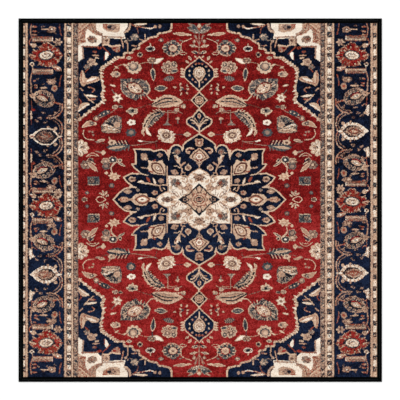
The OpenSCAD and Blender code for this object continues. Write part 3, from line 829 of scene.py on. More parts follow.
def draw_corner(c):
    """The navy corner with its toothed edge, and the ivory cartouche in it."""
    edge = smooth(CORNER_EDGE, steps=4)[:-4]
    for k, (x, y) in enumerate(edge):
        if x > 400:
            c.line((x + 6, y + 2, x - 4, y - 4), 4, ((BROWN, TAN), CREAM)[k % 2])
            if k % 2:
                c.blade(x + 7, y + 7, x - 14, y - 5, 9.5, (CREAM, PEARL)[k % 4 > 2], fat=0.4)
        else:
            c.oval(x, y, 5, 4, (SAND, CREAM, (BROWN, TAN), CREAM)[k % 4])

    # upper navy part
    c.leaf(334, 880, 258, 885, 12, CREAM, IVORY)
    each(c.curve, ((345, 884, 330, 876, 313, 862, 306, 837), 5, EARTH),
         ((324, 874, 290, 868, 250, 862, 222, 866), 5, (RUST, CREAM)),
         ((270, 864, 246, 860, 226, 866), 4, IVORY))
    c.oval(222, 870, 8, 8, TAN)
    c.oval(198, 872, 8, 9, BUFF)
    c.lobes(325, 818, 22, 19, 6, (GREY, SLATE, DUSK), 0.3)
    c.lobes(320, 822, 12, 10, 5, (CREAM, GREY), 0.3)
    c.curve((362, 810, 352, 800, 338, 804), 4, (GREY, DUSK))
    each(c.line, ((272, 830, 272, 808), 6, SAND), ((300, 806, 276, 800), 5, TAN),
         ((338, 775, 316, 774), 6, CLAY))
    c.oval(370, 797, 8, 7, (DUSK, CREAM))
    c.curve((368, 792, 360, 782, 360, 760, 360, 741), 5.5, TAN)
    c.curve((393, 812, 385, 784, 382, 765), 6.5, (TAN, RUST, CREAM))
    c.lobes(469, 798, 21, 18, 5, (DUSK, CREAM, TAN))
    c.oval(466, 800, 8, 6, BROWN)
    c.curve((484, 778, 460, 780, 440, 770, 418, 774, 398, 776), 8, CREAM)
    c.fill((446, 768, 397, 772, 399, 748, 411, 740, 432, 750), (RUST, TAN, DUSK))
    c.oval(428, 762, 8, 5, CRIMSON)
    c.fill((472, 741, 462, 746, 455, 734, 461, 716, 472, 701, 478, 716), IVORY)
    c.line((476, 728, 476, 702), 4, RUST)
    c.line((486, 769, 448, 731), 5.5, RUST)
    c.oval(503, 763, 13, 7, (RUST, CRIMSON), 15)
    c.oval(527, 744, 11, 6, EARTH)
    c.blade(542, 726, 500, 724, 9, TAN)
    c.blade(528, 714, 502, 710, 8, CREAM)

    # lower navy part
    c.lobes(542, 692, 23, 20, 5, (DUSK, CREAM, TAN), 0.28)
    c.oval(546, 694, 9, 7, BARK)
    c.oval(520, 682, 8, 7, CREAM)
    c.lobes(565, 667, 17, 14, 5, (GREY, DUSK, BROWN), 0.28)
    c.line((560, 655, 574, 642), 5, RUST)
    c.fill((588, 650, 600, 630, 602, 596, 594, 576, 584, 570, 566, 580, 520, 592, 500, 604, 508, 618,
           540, 620, 560, 606, 572, 612, 578, 634), SAND)
    c.curve((592, 646, 594, 620, 588, 590, 570, 586, 530, 600, 508, 608), 6, COPPER)
    c.blade(582, 640, 584, 584, 14, CREAM)
    c.blade(572, 594, 516, 612, 13, IVORY)
    c.curve((560, 566, 540, 562, 528, 552, 538, 542), 5.5, COPPER)
    c.line((600, 560, 586, 548), 6, TAN)
    c.leaf(578, 526, 512, 518, 13, CREAM, IVORY)
    c.blade(562, 500, 518, 506, 10, COPPER)
    c.curve((579, 531, 560, 510, 531, 486), 4.5, PEACH)
    c.blade(552, 484, 612, 444, 27, PEACH, bend=8)
    each(c.curve, ((556, 478, 580, 468, 606, 446), 5, IVORY),
         ((600, 480, 594, 492, 604, 506), 4.5, RUST), ((604, 430, 602, 412, 608, 396), 4, TAN))

    # tan ground behind the cartouche, and its brown lines
    c.fill((620, 900, 518, 900, 518, 853, 505, 840, 486, 833, 486, 822, 512, 826, 540, 838, 562, 860,
           568, 850, 574, 822, 568, 792, 596, 784, 620, 764), (TAN, DUSK, CREAM, TAN, RUST))
    c.line((548, 884, 602, 838), 5, EARTH)
    c.line((560, 884, 606, 846), 4, CREAM)
    c.blade(600, 806, 572, 842, 17, HEART)
    c.line((600, 800, 574, 792), 6, EARTH)
    c.curve((543, 884, 533, 858, 515, 838, 487, 826), 4, BROWN)
    c.curve((530, 884, 522, 858, 506, 842, 486, 834), 4, (BROWN, TAN))
    # the left flower, the right flower and the cartouche's rim
    c.lobes(539, 806, 27, 19, 7, FLORAL, 0.2, 15)
    c.oval(546, 806, 9, 7, EARTH)
    c.fill((486, 884, 400, 884, 398, 850, 420, 840, 462, 846, 484, 862), (CREAM, TAN, DUSK, TAN))
    c.fill((486, 884, 462, 884, 460, 852, 480, 864), COPPER)
    c.lobes(443, 866, 23, 14, 6, (BROWN, DUSK, SLATE), 0.2)
    c.oval(450, 867, 12, 7, INK)
    c.oval(436, 866, 7, 5, DUSK)
    each(c.line, ((487, 820, 380, 816), 7, (TAN, BROWN, TAN)),
         ((488, 822, 488, 782), 7, (TAN, BROWN, DUSK)), ((590, 770, 510, 770), 7, (BROWN, RUST, TAN)),
         ((587, 766, 584, 712), 8, BUFF))
    c.curve((348, 886, 350, 866, 360, 850, 376, 842), 11, (TAN, DUSK, CREAM))
    c.curve((356, 884, 358, 868, 372, 852), 3.4, BROWN)


# ---------------------------------------------------------------- side borders and guards
def red_palmette(c, y):
    """The large crimson flower of the border: a point outwards, lobes inwards, an ivory heart."""
    c.put(y)
    middle = np.array([771, 0])
    rim = np.array([(859, 1), (834, 24), (806, 28), (810, 46), (792, 52), (784, 64), (762, 68),
                    (746, 56), (728, 44), (706, 30), (686, -2), (706, -28), (714, -46), (738, -54),
                    (760, -60), (782, -56), (806, -50), (814, -28), (838, -24)])
    c.fill(rim, (TAN, CREAM, BROWN, RUST, INK))
    c.fill(middle + (rim - middle) * 0.91, (CRIMSON, CRIMSON, CRIMSON, RUST))
    for k, a in spokes(16, 0.4):
        c.line((*round_at(middle, 54, 36, a), *round_at(middle, 78, 58, a)), 4,
               (INK, PEACH, BROWN, CLAY)[k % 4])
    for dx, dy in ((-18, 29), (-38, 22), (-56, 24), (-44, -14), (-72, -8), (-10, 40), (24, 44), (-24, -42),
                   (30, -40), (-70, 10), (14, -46)):
        c.oval(771 + dx, dy, 5.5, 5, (CREAM, DUSK))
        c.oval(771 + dx, dy, 2, 2, RUST)
    c.line((848, 2, 824, -4), 7, PEACH)
    c.oval(768, 0, 42, 26, (INK, BROWN, SLATE), -6)
    c.oval(770, 0, 33, 19, MILK, -6)
    c.lobes(768, 0, 24, 12, 6, (BROWN, TAN, GREY), 0.3, -6)
    c.oval(771, 0, 16, 7, MILK, -6)
    c.line((780, 5, 760, 2), 3.4, BROWN)
    c.oval(728, -2, 6, 5, INK)
    # tan ball over it and small white flower under it, on hooks from the bars
    c.curve((848, 84, 856, 64, 846, 48), 5, CLAY)
    c.oval(833, 50, 13, 12, SAND)
    c.oval(846, 56, 4, 4, IVORY)
    c.lobes(842, -45, 12, 11, 4, (CREAM, IVORY, TAN), 0.3)
    c.oval(842, -45, 5, 5, (BROWN, INK))
    c.line((840, -56, 836, -76), 5, (CREAM, DUSK))
    # six-petalled flower and a leafy one beside the bars
    daisy(c, 711, 67, 6, 23, 21, 12, (CREAM, TAN, DUSK))
    c.oval(711, 67, 8, 7, BARK)
    c.blade(740, -56, 690, -76, 24, (TAN, DUSK, RUST))
    c.line((738, -60, 696, -62), 4, CREAM)
    c.oval(711, -68, 5, 4, IVORY)


def daisy(c, x, y, petals, rx, ry, width, yarn):
    """A ring of loose petals round a flower's middle."""
    for _, a in spokes(petals):
        c.blade(x, y, *round_at((x, y), rx, ry, a), width, yarn, fat=0.65)


def bar(c, y, way):
    """A tan bar across the border on a curling stem; its rust edge lies towards way."""
    c.put(y, way)
    c.bead(788, 0, 54, 14, (RUST, BROWN, BROWN))
    c.bead(789, -1, 51, 10, (TAN, DUSK, GREY))
    c.line((834, -4, 744, -6), 5, (CREAM, CREAM, TAN))
    c.line((820, 5, 756, 5), 4, EARTH)
    c.line((822, -1, 770, 0), 3, BARK)
    c.line((739, -9, 739, 9), 4, PEARL)
    c.curve((840, 0, 846, 20, 849, 46, 844, 74), 5.5, (TAN, DUSK, RUST))
    c.curve((703, 74, 702, 52, 694, 20), 5.5, EARTH)
    for dx, dy, turn in ((0, 40, 20), (26, 62, 160), (-34, 34, 80), (52, 38, 10)):
        c.lobes(760 + dx, dy, 10, 6, 3, (BROWN, INK, DUSK, NAVY), 0.3, turn)


def lens(c, y, serrated):
    """The ivory ring with a long dark middle, and the curling stems round it."""
    for way in (-1, 1):
        c.put(y, way)
        c.curve((688, 162, 693, 126, 726, 97, 767, 94), 7.5, (TAN, DUSK, TAN, RUST))
        c.curve((700, 158, 704, 132, 732, 108, 760, 104), 4.5, (DUSK, BROWN, TAN))
        c.curve((726, 95, 697, 70, 689, 34, 696, 4), 6.5, (TAN, CREAM, DUSK, RUST))
        c.curve((736, 84, 710, 64, 700, 36, 706, 14), 4.5, (BROWN, DUSK, TAN))
        c.curve((844, 184, 843, 150, 843, 136), 4.5, EARTH)
        for dx, dy, turn in ((30, 93, 0), (-18, 92, 10), (4, 70, 160), (48, 78, 40), (-44, 122, 70),
                             (16, 120, 0)):
            c.lobes(770 + dx, dy, 13, 7, 3, (BROWN, INK, DUSK, NAVY, TAN), 0.35, turn)
        if serrated:
            c.fill((856, 134, 842, 128, 838, 104, 824, 90, 842, 84, 852, 76, 857, 96), (CREAM, TAN, IVORY))
            c.line((848, 124, 846, 94), 4, IVORY)
            c.curve((820, 128, 834, 138, 842, 132), 4.5, COPPER)
        else:
            c.oval(836, 134, 11, 7, (RUST, CRIMSON, BROWN))
            c.line((846, 126, 845, 90), 8, CREAM)
            c.line((846, 86, 845, 62), 3.6, (BROWN, RUST))
        c.oval(761, 48, 6, 5, TAN)
        c.oval(723, 40, 9, 8, PEACH)
    c.put(y)
    ring = [(852 if serrated else 838, 0), (830, 18), (814, 30), (794, 40), (748, 42), (728, 34),
            (706, 4), (686, 0), (706, -4), (728, -28), (752, -42), (792, -40), (816, -28), (832, -14)]
    c.fill(ring, (CREAM, IVORY, IVORY) if serrated else (CREAM, IVORY, CREAM, TAN))
    c.line(ring[:5], 3, IVORY)
    c.line(ring[-5:], 3, IVORY)
    if serrated:
        for _, a in spokes(16, 0.5):
            c.blade(*round_at((773, 0), 46, 32, a), *round_at((770, 0), 62, 47, a), 10, PEACH)
    else:
        c.oval(840, 1, 15, 12, PEARL)
        c.oval(841, 1, 8, 5, CLAY)
    inside = 0.84 if serrated else 1
    hollow = np.array([(61, 1), (39, 26), (19, 35), (-19, 36), (-33, 30), (-60, 1), (-33, -26), (-21, -36),
                       (17, -36), (41, -25)])
    c.fill(hollow * inside + (771, 0), INK)
    if serrated:
        c.blade(826, 0, 728, 0, 52, (BROWN, INK, TAN))
        c.blade(820, 0, 738, 0, 42, (TAN, CREAM, BROWN))
        c.blade(814, 0, 744, 0, 32, (RUST, BROWN, BROWN))
        c.blade(800, 0, 758, 0, 15, (TAN, CREAM, RUST))
    else:
        c.blade(826, 0, 728, 0, 60, (DUSK, INK, BROWN, INK))
        c.blade(820, 0, 738, 0, 42, (BROWN, SLATE, INK, TAN))
        c.blade(814, 0, 744, 0, 32, (BROWN, RUST, INK, DUSK))
        c.blade(800, 0, 758, 0, 15, (DUSK, SLATE, TAN))


def tilted_palmette(c, y, way):
    """A smaller flower that leans, with a peach heart, a light crescent and curling petals."""
    c.put(y)
    turn = 20 * way
    middle, heart = (783, 0), (788, 0)

    def arc(centre, rx, ry, start, stop, count, width, yarn):
        """A line along part of a turned oval, between two angles in radians."""
        c.line([round_at(centre, rx, ry, a, turn) for a in np.linspace(start, stop, count)], width, yarn)

    c.oval(*middle, 52, 31, (INK, NAVY, SLATE), turn)
    for k, a in spokes(13):
        petal = round_at(middle, 49, 28, a, turn)
        c.oval(*petal, 11, 8, (STONE, PEACH, BUFF)[k % 3], turn + 60)
        c.oval(*petal, 7, 4.5, (INK, SLATE, BROWN)[k % 3], turn + 60)
        c.line((*petal, *round_at(middle, 54, 33, a, turn)), 2.6, BUFF)
    arc(middle, 54, 34, -0.9, 0.9, 7, 6, PEACH)
    arc(middle, 57, 36, 1.2, 3.6, 9, 4, (DUSK, TAN, INK))
    c.oval(*heart, 37, 19, INK, turn)
    arc(heart, 27, 17, 0.5, 2.6, 7, 5, CRIMSON)
    c.blade(*at(heart, 34, 0, turn), *at(heart, -28, 0, turn), 25, PEACH)
    c.oval(789, 0, 14, 6, (IVORY, GREY), turn)
    arc(middle, 62, 40, 0.9, 2.3, 8, 3.2, (DUSK, GREY, TAN))
    arc(middle, 61, 39, 3.6, 5.1, 8, 3.2, (DUSK, GREY, TAN))
    c.lobes(*at(middle, 55, -6, turn), 17, 13, 5, PEACH, 0.3, turn)
    c.oval(*at(middle, 55, -6, turn), 5, 4, (BROWN, TAN))
    c.line((*at(middle, -52, 0, turn), 690, -way * 30), 7, CLAY)
    c.line((*at(middle, 54, 2, turn), 846, way * 30, 848, way * 60), 6.5, BUFF)
    # small flowers and leaves beyond it
    c.put(y, way)
    c.lobes(848, 16, 9, 6, 3, TAN)
    c.lobes(744, 85, 26, 15, 6, (DUSK, TAN, BROWN), 0.28)
    c.oval(752, 84, 7, 5, CREAM)
    c.oval(728, 52, 15, 17, BUFF, 20)
    c.oval(728, 52, 7, 8, RUST, 20)
    c.blade(806, 53, 760, 55, 10, PEACH)
    for x, up in ((829, 88), (824, 66), (822, 54)):
        c.blade(x + 10, up, x - 10, up + 3, 8, COPPER)


def upright(c, x, width, yarn):
    """A line down the whole guard."""
    c.line((x, -MAP_HALF, x, MAP_HALF), width, yarn)


def band(c, x0, x1, yarn):
    """The ground of a whole guard, from x0 to x1."""
    c.fill((x0, -MAP_HALF, x1, -MAP_HALF, x1, MAP_HALF, x0, MAP_HALF), yarn)


def draw_guards(c):
    """The three guards beside the main border, over the rug's whole height."""
    # grey guard: a brown edge, and small light and dark knots between two dull edges
    band(c, 607, 636, (DUSK, BROWN, GREY, SLATE))
    upright(c, 632, 5.5, BROWN)
    upright(c, 610, 5, (BROWN, DUSK, BROWN))
    for k in range(150):
        y = -895 + 12 * k
        c.line((619, y, 627, y + 3), 4.5, (CREAM, SLATE, GREY, INK, DUSK, TAN)[k % 6])
        c.oval(617, y + 6, 4, 3, (INK, BROWN, DUSK)[k % 3])
    # inner guard: peach edges, and a column of ivory beads with dark marks between
    band(c, 635, 679, (TAN, CREAM, TAN, CREAM, DUSK))
    for x, width, yarn in ((638, 6, CREAM), (643, 2.6, BARK), (668, 4.4, BARK), (674, 5, SAND),
                           (681, 4.5, INK)):
        upright(c, x, width, yarn)
    for k in range(12):
        c.put(-905 + 155 * k)
        for y, half in ((0, 16), (62, 13), (101, 8), (128, 6)):
            c.bead(655, y, 11, half, CREAM)
            c.bead(655, y, 7.5, half - 3, IVORY)
        c.line((651, 70, 660, 54), 3.6, SLATE)
        c.line((652, 106, 660, 98), 3.4, BROWN)
        c.oval(656, -9, 4, 3, DUSK)
        for y, half in ((31, 15), (83, 11), (116, 7), (141, 7)):
            c.bead(656, y, 12, half, (SLATE, INK, INK, SLATE, BROWN))
            c.line((650, y - half * 0.5, 662, y + half * 0.5), 3, (TAN, GREY))
    # outer guard: an ink line, a peach band, a brown line, and blocks on the outer side
    c.put()
    band(c, 862, MAP_HALF, (TAN, CREAM, TAN))
    for x, width, yarn in ((859.5, 6, INK), (868, 6, PEACH), (875, 4.4, BARK)):
        upright(c, x, width, yarn)
    for k in range(32):
        c.put(-896 + 58 * k)
        c.bead(884, 13, 7.5, 17, PEARL if k % 3 else PEACH)
        c.bead(884, 43, 9, 13, (SLATE, INK, INK, BROWN))
        c.line((880, 38, 888, 47), 3.4, (GREY, TAN))


def draw_strip(c, reds, bars, lenses, tilts):
    """One side border with its guards, X outwards and Y up, over the rug's whole height."""

    def away_from(y, others):
        """1 where y lies over the nearest of the others, -1 where it lies under it."""
        return 1 if y > min(others, key=lambda other: abs(other - y)) else -1

    draw_guards(c)
    for y in bars:
        bar(c, y, away_from(y, reds))
    for y, serrated in lenses:
        lens(c, y, serrated)
    for y in tilts:
        tilted_palmette(c, y, away_from(y, [middle for middle, _ in lenses]))
    for y in reds:
        red_palmette(c, y)
    c.put(reds[1])
    daisy(c, 710, 55, 8, 20, 19, 10, (TAN, DUSK, CREAM))
    c.oval(710, 55, 7, 7, BROWN)
    # the ends, over and under the last bars
    for way in (-1, 1):
        c.put(0, way)
        c.lobes(741, 856, 22, 16, 5, FAWN)
        c.oval(743, 857, 11, 8, BROWN)
        c.oval(743, 857, 4, 4, IVORY)
        c.line((793, 857, 762, 857), 6, SAND)
        for y in (869, 846, 829):
            c.blade(816, y, 842, y + 1, 10, CLAY)


quarter = Cartoon(0, 0, 610, MAP_HALF)
draw_field(quarter)
draw_medallion(quarter)
draw_pendant(quarter)
draw_corner(quarter)
west = Cartoon(600, -MAP_HALF, MAP_HALF, MAP_HALF)
draw_strip(west, (726, -31, -721), (807, 644, 45, -107, -640, -802), ((317, False), (-378, True)),
           (508, 146, -214, -528))
east = Cartoon(600, -MAP_HALF, MAP_HALF, MAP_HALF)
draw_strip(east, (726, -10, -722), (812, 648, 80, -95, -640, -802), ((344, True), (-370, True)),
           (519, 185, -205, -530))


# ---------------------------------------------------------------- materials
def linear(rgb):
    """Display values of 0 to 255 as a linear colour."""
    shares = [v / 255 for v in rgb]
    return [s / 12.92 if s <= 0.04045 else ((s + 0.055) / 1.055) ** 2.4 for s in shares] + [1.0]


class Graph:
    """A new material's nodes, with short calls for the few kinds used here."""

    def __init__(self, name):
        self.material = bpy.data.materials.new(name)
        self.material.use_nodes = True
        self.tree = self.material.node_tree
        self.shader = self.tree.nodes["Principled BSDF"]
        self.coords = self.tree.nodes.new("ShaderNodeTexCoord").outputs["Object"]

    def link(self, out, socket):
        """Joins an output to an input."""
        self.tree.links.new(out, socket)

    def stretched(self, scale):
        """The object's coordinates, scaled apart in X, Y and Z."""
        node = self.tree.nodes.new("ShaderNodeMapping")
        node.inputs["Scale"].default_value = scale
        self.link(self.coords, node.inputs["Vector"])
        return node.outputs["Vector"]

    def noise(self, scale, detail=2.0, vector=None):
        """Cloudy random values."""
        node = self.tree.nodes.new("ShaderNodeTexNoise")
        node.inputs["Scale"].default_value = scale
        node.inputs["Detail"].default_value = detail
        self.link(vector or self.coords, node.inputs["Vector"])
        return node.outputs["Fac"]

    def wave(self, direction, scale):
        """Ribs across one direction, a little wavy."""
        node = self.tree.nodes.new("ShaderNodeTexWave")
        node.bands_direction = direction
        node.inputs["Scale"].default_value = scale
        node.inputs["Distortion"].default_value = 1.5
        node.inputs["Detail Scale"].default_value = 2.0
        self.link(self.coords, node.inputs["Vector"])
        return node.outputs["Fac"]

    def spread(self, value, low, high):
        """A noise's middle range, spread out from low to high."""
        node = self.tree.nodes.new("ShaderNodeMapRange")
        self.link(value, node.inputs["Value"])
        for end, number in (("From Min", 0.25), ("From Max", 0.75), ("To Min", low), ("To Max", high)):
            node.inputs[end].default_value = number
        return node.outputs["Result"]

    def math(self, kind, a, b):
        """Two values joined by one sum."""
        node = self.tree.nodes.new("ShaderNodeMath")
        node.operation = kind
        self.link(a, node.inputs[0])
        self.link(b, node.inputs[1])
        return node.outputs[0]

    def shade(self, colour, value):
        """The base colour, made lighter and darker by value."""
        node = self.tree.nodes.new("ShaderNodeHueSaturation")
        node.inputs["Color"].default_value = colour
        self.link(value, node.inputs["Value"])
        self.link(node.outputs["Color"], self.shader.inputs["Base Color"])

    def bump(self, height, strength, distance):
        """Makes the surface look uneven by a height."""
        node = self.tree.nodes.new("ShaderNodeBump")
        node.inputs["Strength"].default_value = strength
        node.inputs["Distance"].default_value = distance
        self.link(height, node.inputs["Height"])
        self.link(node.outputs["Normal"], self.shader.inputs["Normal"])

    def finish(self, specular, sheen=0.0, tint=(1, 1, 1, 1)):
        """Sets the shine and gives back the material."""
        self.shader.inputs["Specular IOR Level"].default_value = specular
        self.shader.inputs["Sheen Weight"].default_value = sheen
        self.shader.inputs["Sheen Roughness"].default_value = 0.5
        self.shader.inputs["Sheen Tint"].default_value = tint
        return self.material


def yarn_material(name, rgb):
    """Wool-like tufts: bands of dye along the rows, lighter and darker knots, streaks and fine fibres."""
    g = Graph("yarn_" + name)
    bands = g.spread(g.noise(1.0, 3.0, g.stretched((3.0, 26.0, 1.0))), 0.84, 1.16)
    knots = g.spread(g.noise(210.0, 2.0), 0.78, 1.22)
    streaks = g.spread(g.noise(1.0, 2.0, g.stretched((70.0, 420.0, 1.0))), 0.90, 1.10)
    g.shade(linear(rgb), g.math("MULTIPLY", g.math("MULTIPLY", bands, knots), streaks))
    g.link(g.spread(g.noise(60.0), 0.82, 0.97), g.shader.inputs["Roughness"])
    fibres = g.math("ADD", g.noise(900.0, 3.0), g.noise(1.0, 1.0, g.stretched((300.0, 900.0, 300.0))))
    g.bump(fibres, 0.5, 0.0006)
    return g.finish(0.05, 0.06, linear(rgb))


def weave_material(name, rgb, pitch, depth):
    """A plain weave: warp and weft ribs that cross, with painted shade in the gaps between them, slubs,
    and a little unevenness in the dye.
    """
    g = Graph(name)
    scale = 2 * math.pi / 20 / pitch
    ribs = g.math("MAXIMUM", g.wave("X", scale), g.wave("Y", scale))
    slubs = g.spread(g.noise(1.0, 2.0, g.stretched((400.0, 30.0, 1.0))), 0.88, 1.12)
    stains = g.spread(g.noise(5.0, 3.0), 0.92, 1.08)
    # the colour is darkened where the ribs are low: painted shade in the gaps between the threads
    g.shade(linear(rgb), g.math("MULTIPLY", g.math("MULTIPLY", slubs, stains), g.spread(ribs, 0.8, 1.05)))
    g.link(g.spread(g.noise(80.0), 0.75, 0.95), g.shader.inputs["Roughness"])
    g.bump(ribs, 0.8, depth)
    return g.finish(0.2)


def tape_material(name, rgb, pitch, specular):
    """A cotton twill: fine slanting ribs, rubbed a little paler in places."""
    g = Graph(name)
    ribs = g.wave("DIAGONAL", 2 * math.pi / 10 / pitch)
    rubbed = g.spread(g.noise(9.0, 4.0), 0.7, 1.4)
    lint = g.spread(g.noise(700.0, 2.0), 0.7, 1.3)
    g.shade(linear(rgb), g.math("MULTIPLY", rubbed, lint))
    g.link(g.spread(g.noise(120.0), 0.7, 0.92), g.shader.inputs["Roughness"])
    g.bump(ribs, 0.6, 0.0003)
    return g.finish(specular, 0.01, linear((90, 90, 95)))


def rubber_material(name, rgb):
    """The set latex between the layers: pale, a little glossy, with small pits."""
    g = Graph(name)
    g.shade(linear(rgb), g.spread(g.noise(14.0, 4.0), 0.9, 1.06))
    g.link(g.spread(g.noise(90.0), 0.35, 0.6), g.shader.inputs["Roughness"])
    g.bump(g.noise(260.0, 3.0), 0.4, 0.0004)
    return g.finish(0.4)


yarns = [yarn_material(name, rgb) for name, rgb in YARNS.items()]
BLACK_TAPE = tape_material("binding_black", (4, 5, 5), 0.0016, 0.01)
BLACK_THREAD = tape_material("thread_black", (38, 40, 43), 0.0008, 0.12)
CORD_COTTON = tape_material("cord_cotton", (196, 186, 166), 0.0012, 0.2)
BACKING_WEAVE = weave_material("backing_weave", (206, 194, 168), 0.0036, 0.0006)
PRIMARY_WEAVE = weave_material("primary_weave", (188, 170, 136), 0.0024, 0.0004)
LATEX = rubber_material("latex", (222, 216, 200))


# ---------------------------------------------------------------- pieces
def quad_mesh(name, points, quads, materials, picks=None):
    """A smooth mesh object from arrays of points and quads; picks says each quad's material."""
    mesh = bpy.data.meshes.new(name)
    mesh.vertices.add(len(points))
    mesh.vertices.foreach_set("co", np.asarray(points, np.float32).ravel())
    mesh.loops.add(4 * len(quads))
    mesh.loops.foreach_set("vertex_index", np.asarray(quads, np.int32).ravel())
    mesh.polygons.add(len(quads))
    mesh.polygons.foreach_set("loop_start", np.arange(0, 4 * len(quads), 4, dtype=np.int32))
    for material in materials:
        mesh.materials.append(material)
    if picks is not None:
        mesh.polygons.foreach_set("material_index", np.asarray(picks, np.int32))
    mesh.polygons.foreach_set("use_smooth", np.ones(len(quads), bool))
    mesh.update(calc_edges=True)
    piece = bpy.data.objects.new(name, mesh)
    bpy.context.scene.collection.objects.link(piece)
    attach(piece, "root")
    return piece


# ---- the pile: one tuft per knot, and each CAD area is one piece
rng = np.random.default_rng(7)
knots = round(2 * SHOW_HALF / KNOT)
lines = np.linspace(-SHOW_HALF, SHOW_HALF, knots + 1)
centres = (lines[:-1] + lines[1:]) / 2

pile_nodes = sorted(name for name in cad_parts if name.startswith("pile_"))
points, tops, owner = [], [], []
for number, name in enumerate(pile_nodes):
    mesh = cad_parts[name].data
    start = len(points)
    points += [v.co.copy() for v in mesh.vertices]
    for face in mesh.polygons:
        if face.normal.z > 0.9:
            tops.append([start + v for v in face.vertices])
            owner.append(number)
tree = BVHTree.FromPolygons(points, tops)


def area_at(x, y):
    """The number of the CAD pile area at this place."""
    hit = tree.ray_cast(Vector((x, y, 1)), Vector((0, 0, -1)))
    if hit[2] is None:
        hit = tree.find_nearest(Vector((x, y, PILE_TOP)))
    return owner[hit[2]]


area = np.array([[area_at(x, y) for x in centres] for y in centres])
ground = np.array([GROUND[area_kind(name)] for name in pile_nodes])[area]

STRAY = 1.0  # how far, in mm, a knot may stray from the drawing
map_x = centres[None, :] / MM - PATTERN_X + rng.uniform(-STRAY, STRAY, area.shape)
map_y = centres[:, None] / MM - PATTERN_Y + rng.uniform(-STRAY, STRAY, area.shape)
side_x, side_y = np.abs(map_x), np.abs(map_y)
drawn = np.full(area.shape, BARE, np.int8)
inner = side_x < FIELD_HALF
side_x = np.clip(side_x, 0, MAP_HALF - 0.1)
drawn[inner] = quarter.yarn[side_y[inner].astype(int), side_x[inner].astype(int)]
for strip, chosen in ((west, ~inner & (map_x < 0)), (east, ~inner & (map_x > 0))):
    rows = (map_y[chosen] - strip.y0).astype(int)
    columns = (side_x[chosen] - strip.x0).astype(int)
    drawn[chosen] = strip.yarn[rows, columns]
yarn = np.where(drawn == BARE, ground, drawn)


def cloudy(spread_x, spread_y):
    """Random values of about -1 to 1 that run together over this many knots."""
    field = rng.normal(size=area.shape)
    for axis, spread in ((1, spread_x), (0, spread_y)):
        kernel = np.hanning(2 * spread + 3)
        kernel /= np.sqrt((kernel ** 2).sum())
        field = np.apply_along_axis(np.convolve, axis, field, kernel, "same")
    return field


# abrash: every dye lot holds lighter and darker yarn, knot by knot and in clouds. More of it is light
# in the lower half.
clouds = cloudy(0, 0) + 0.25 * cloudy(1, 1) + 0.3 * cloudy(8, 8) + 0.25 * cloudy(40, 3)
tone = clouds + np.interp(map_y, (-130, 10), (0.6, -0.5))
before = yarn.copy()
for dye, darker, lighter, share in ((CRIMSON, WINE, MADDER, 0.9), (NAVY, MIDNIGHT, INDIGO, 0.8)):
    lot = before == dye
    yarn[lot & (tone < -share)] = darker
    yarn[lot & (tone > share)] = lighter
for dye, other, share in ((CREAM, TAN, 1.5), (IVORY, CREAM, 1.9), (TAN, DUSK, 1.7), (SLATE, INK, 1.3),
                          (BROWN, DUSK, 1.0), (DUSK, TAN, 1.0), (GREY, CREAM, 1.3)):
    yarn[(before == dye) & (tone > share)] = other
# the figures of the side borders hold more dark yarn than those of the field
in_border = (side_x > BORDER_INNER) & (side_x < BORDER_OUTER)
for dye, other, share in ((CREAM, DUSK, 1.1), (IVORY, CREAM, 1.4), (TAN, BROWN, 1.0), (DUSK, BROWN, 0.7)):
    yarn[in_border & (before == dye) & (clouds < -share)] = other

# the grid of corners between knots, with one more ring that closes the cut side of the pile
grid = np.concatenate(([-SHOW_HALF - TUCK * MM], lines, [SHOW_HALF + TUCK * MM]))
shape = (knots + 3, knots + 3)
grid_x = np.broadcast_to(grid[None, :], shape).copy()
grid_y = np.broadcast_to(grid[:, None], shape).copy()
grid_z = PILE_TOP + rng.uniform(*SHEARED, shape) * MM
grid_z += RIB * MM * (np.arange(knots + 3)[:, None] % 2)
loose = (slice(2, -2), slice(2, -2))
grid_x[loose] += rng.uniform(-KNOT_SHIFT, KNOT_SHIFT, grid_x[loose].shape) * KNOT
grid_y[loose] += rng.uniform(-KNOT_SHIFT, KNOT_SHIFT, grid_y[loose].shape) * KNOT
rim = np.ones(shape, bool)
rim[1:-1, 1:-1] = False
grid_z[rim] = PILE_FOOT
grid_points = np.stack([grid_x, grid_y, grid_z], axis=-1).reshape(-1, 3)
area = np.pad(area, 1, mode="edge")
yarn = np.pad(yarn, 1, mode="edge")
index = np.arange(shape[0] * shape[1]).reshape(shape)
quads = np.stack([index[:-1, :-1], index[:-1, 1:], index[1:, 1:], index[1:, :-1]], axis=-1)

for number, name in enumerate(pile_nodes):
    mine = area == number
    used, flat_ids = np.unique(quads[mine], return_inverse=True)
    kinds, picks = np.unique(yarn[mine], return_inverse=True)
    piece = quad_mesh(name.replace("pile_", "tufts_"), grid_points[used], flat_ids.reshape(-1, 4),
                      [yarns[k] for k in kinds], picks)
    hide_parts(name)

# ---- the binding: a tape folded over the edge and its cord, sewn through near the inner side
# (distance in from the rug's edge, height), both in mm, from the top's inner side round to the underside
TAPE_WIDTH = round((RUG_HALF - SHOW_HALF) / MM, 1)  # of the tape that shows, in millimetres
TAPE_PROFILE = [(TAPE_WIDTH + 0.6, 7.0), (TAPE_WIDTH + 0.3, 8.0), (TAPE_WIDTH - 0.6, 8.5),
                (TAPE_WIDTH - 3, 8.8), (17.5, 8.9), (14.8, 8.5), (13.0, 8.0), (12.1, 7.7),
                (11.2, 8.0), (10.0, 8.5),
                (8.6, 9.0), (6.8, 9.2), (5.0, 9.2), (3.2, 8.8), (1.7, 7.9), (0.6, 6.5), (0.0, 4.7),
                (0.4, 2.9), (1.4, 1.4), (3.0, 0.4), (5.0, 0.0), (9.0, 0.0), (14.0, 0.0), (19.0, 0.0),
                (TAPE_WIDTH - 0.8, 0.0), (TAPE_WIDTH, 0.3)]
SEAM_U, SEAM_Z = 12.1, 7.95  # middle of the stitches, as in the profile
PUCKER = 0.5  # greatest height of a pucker in the tape, in mm
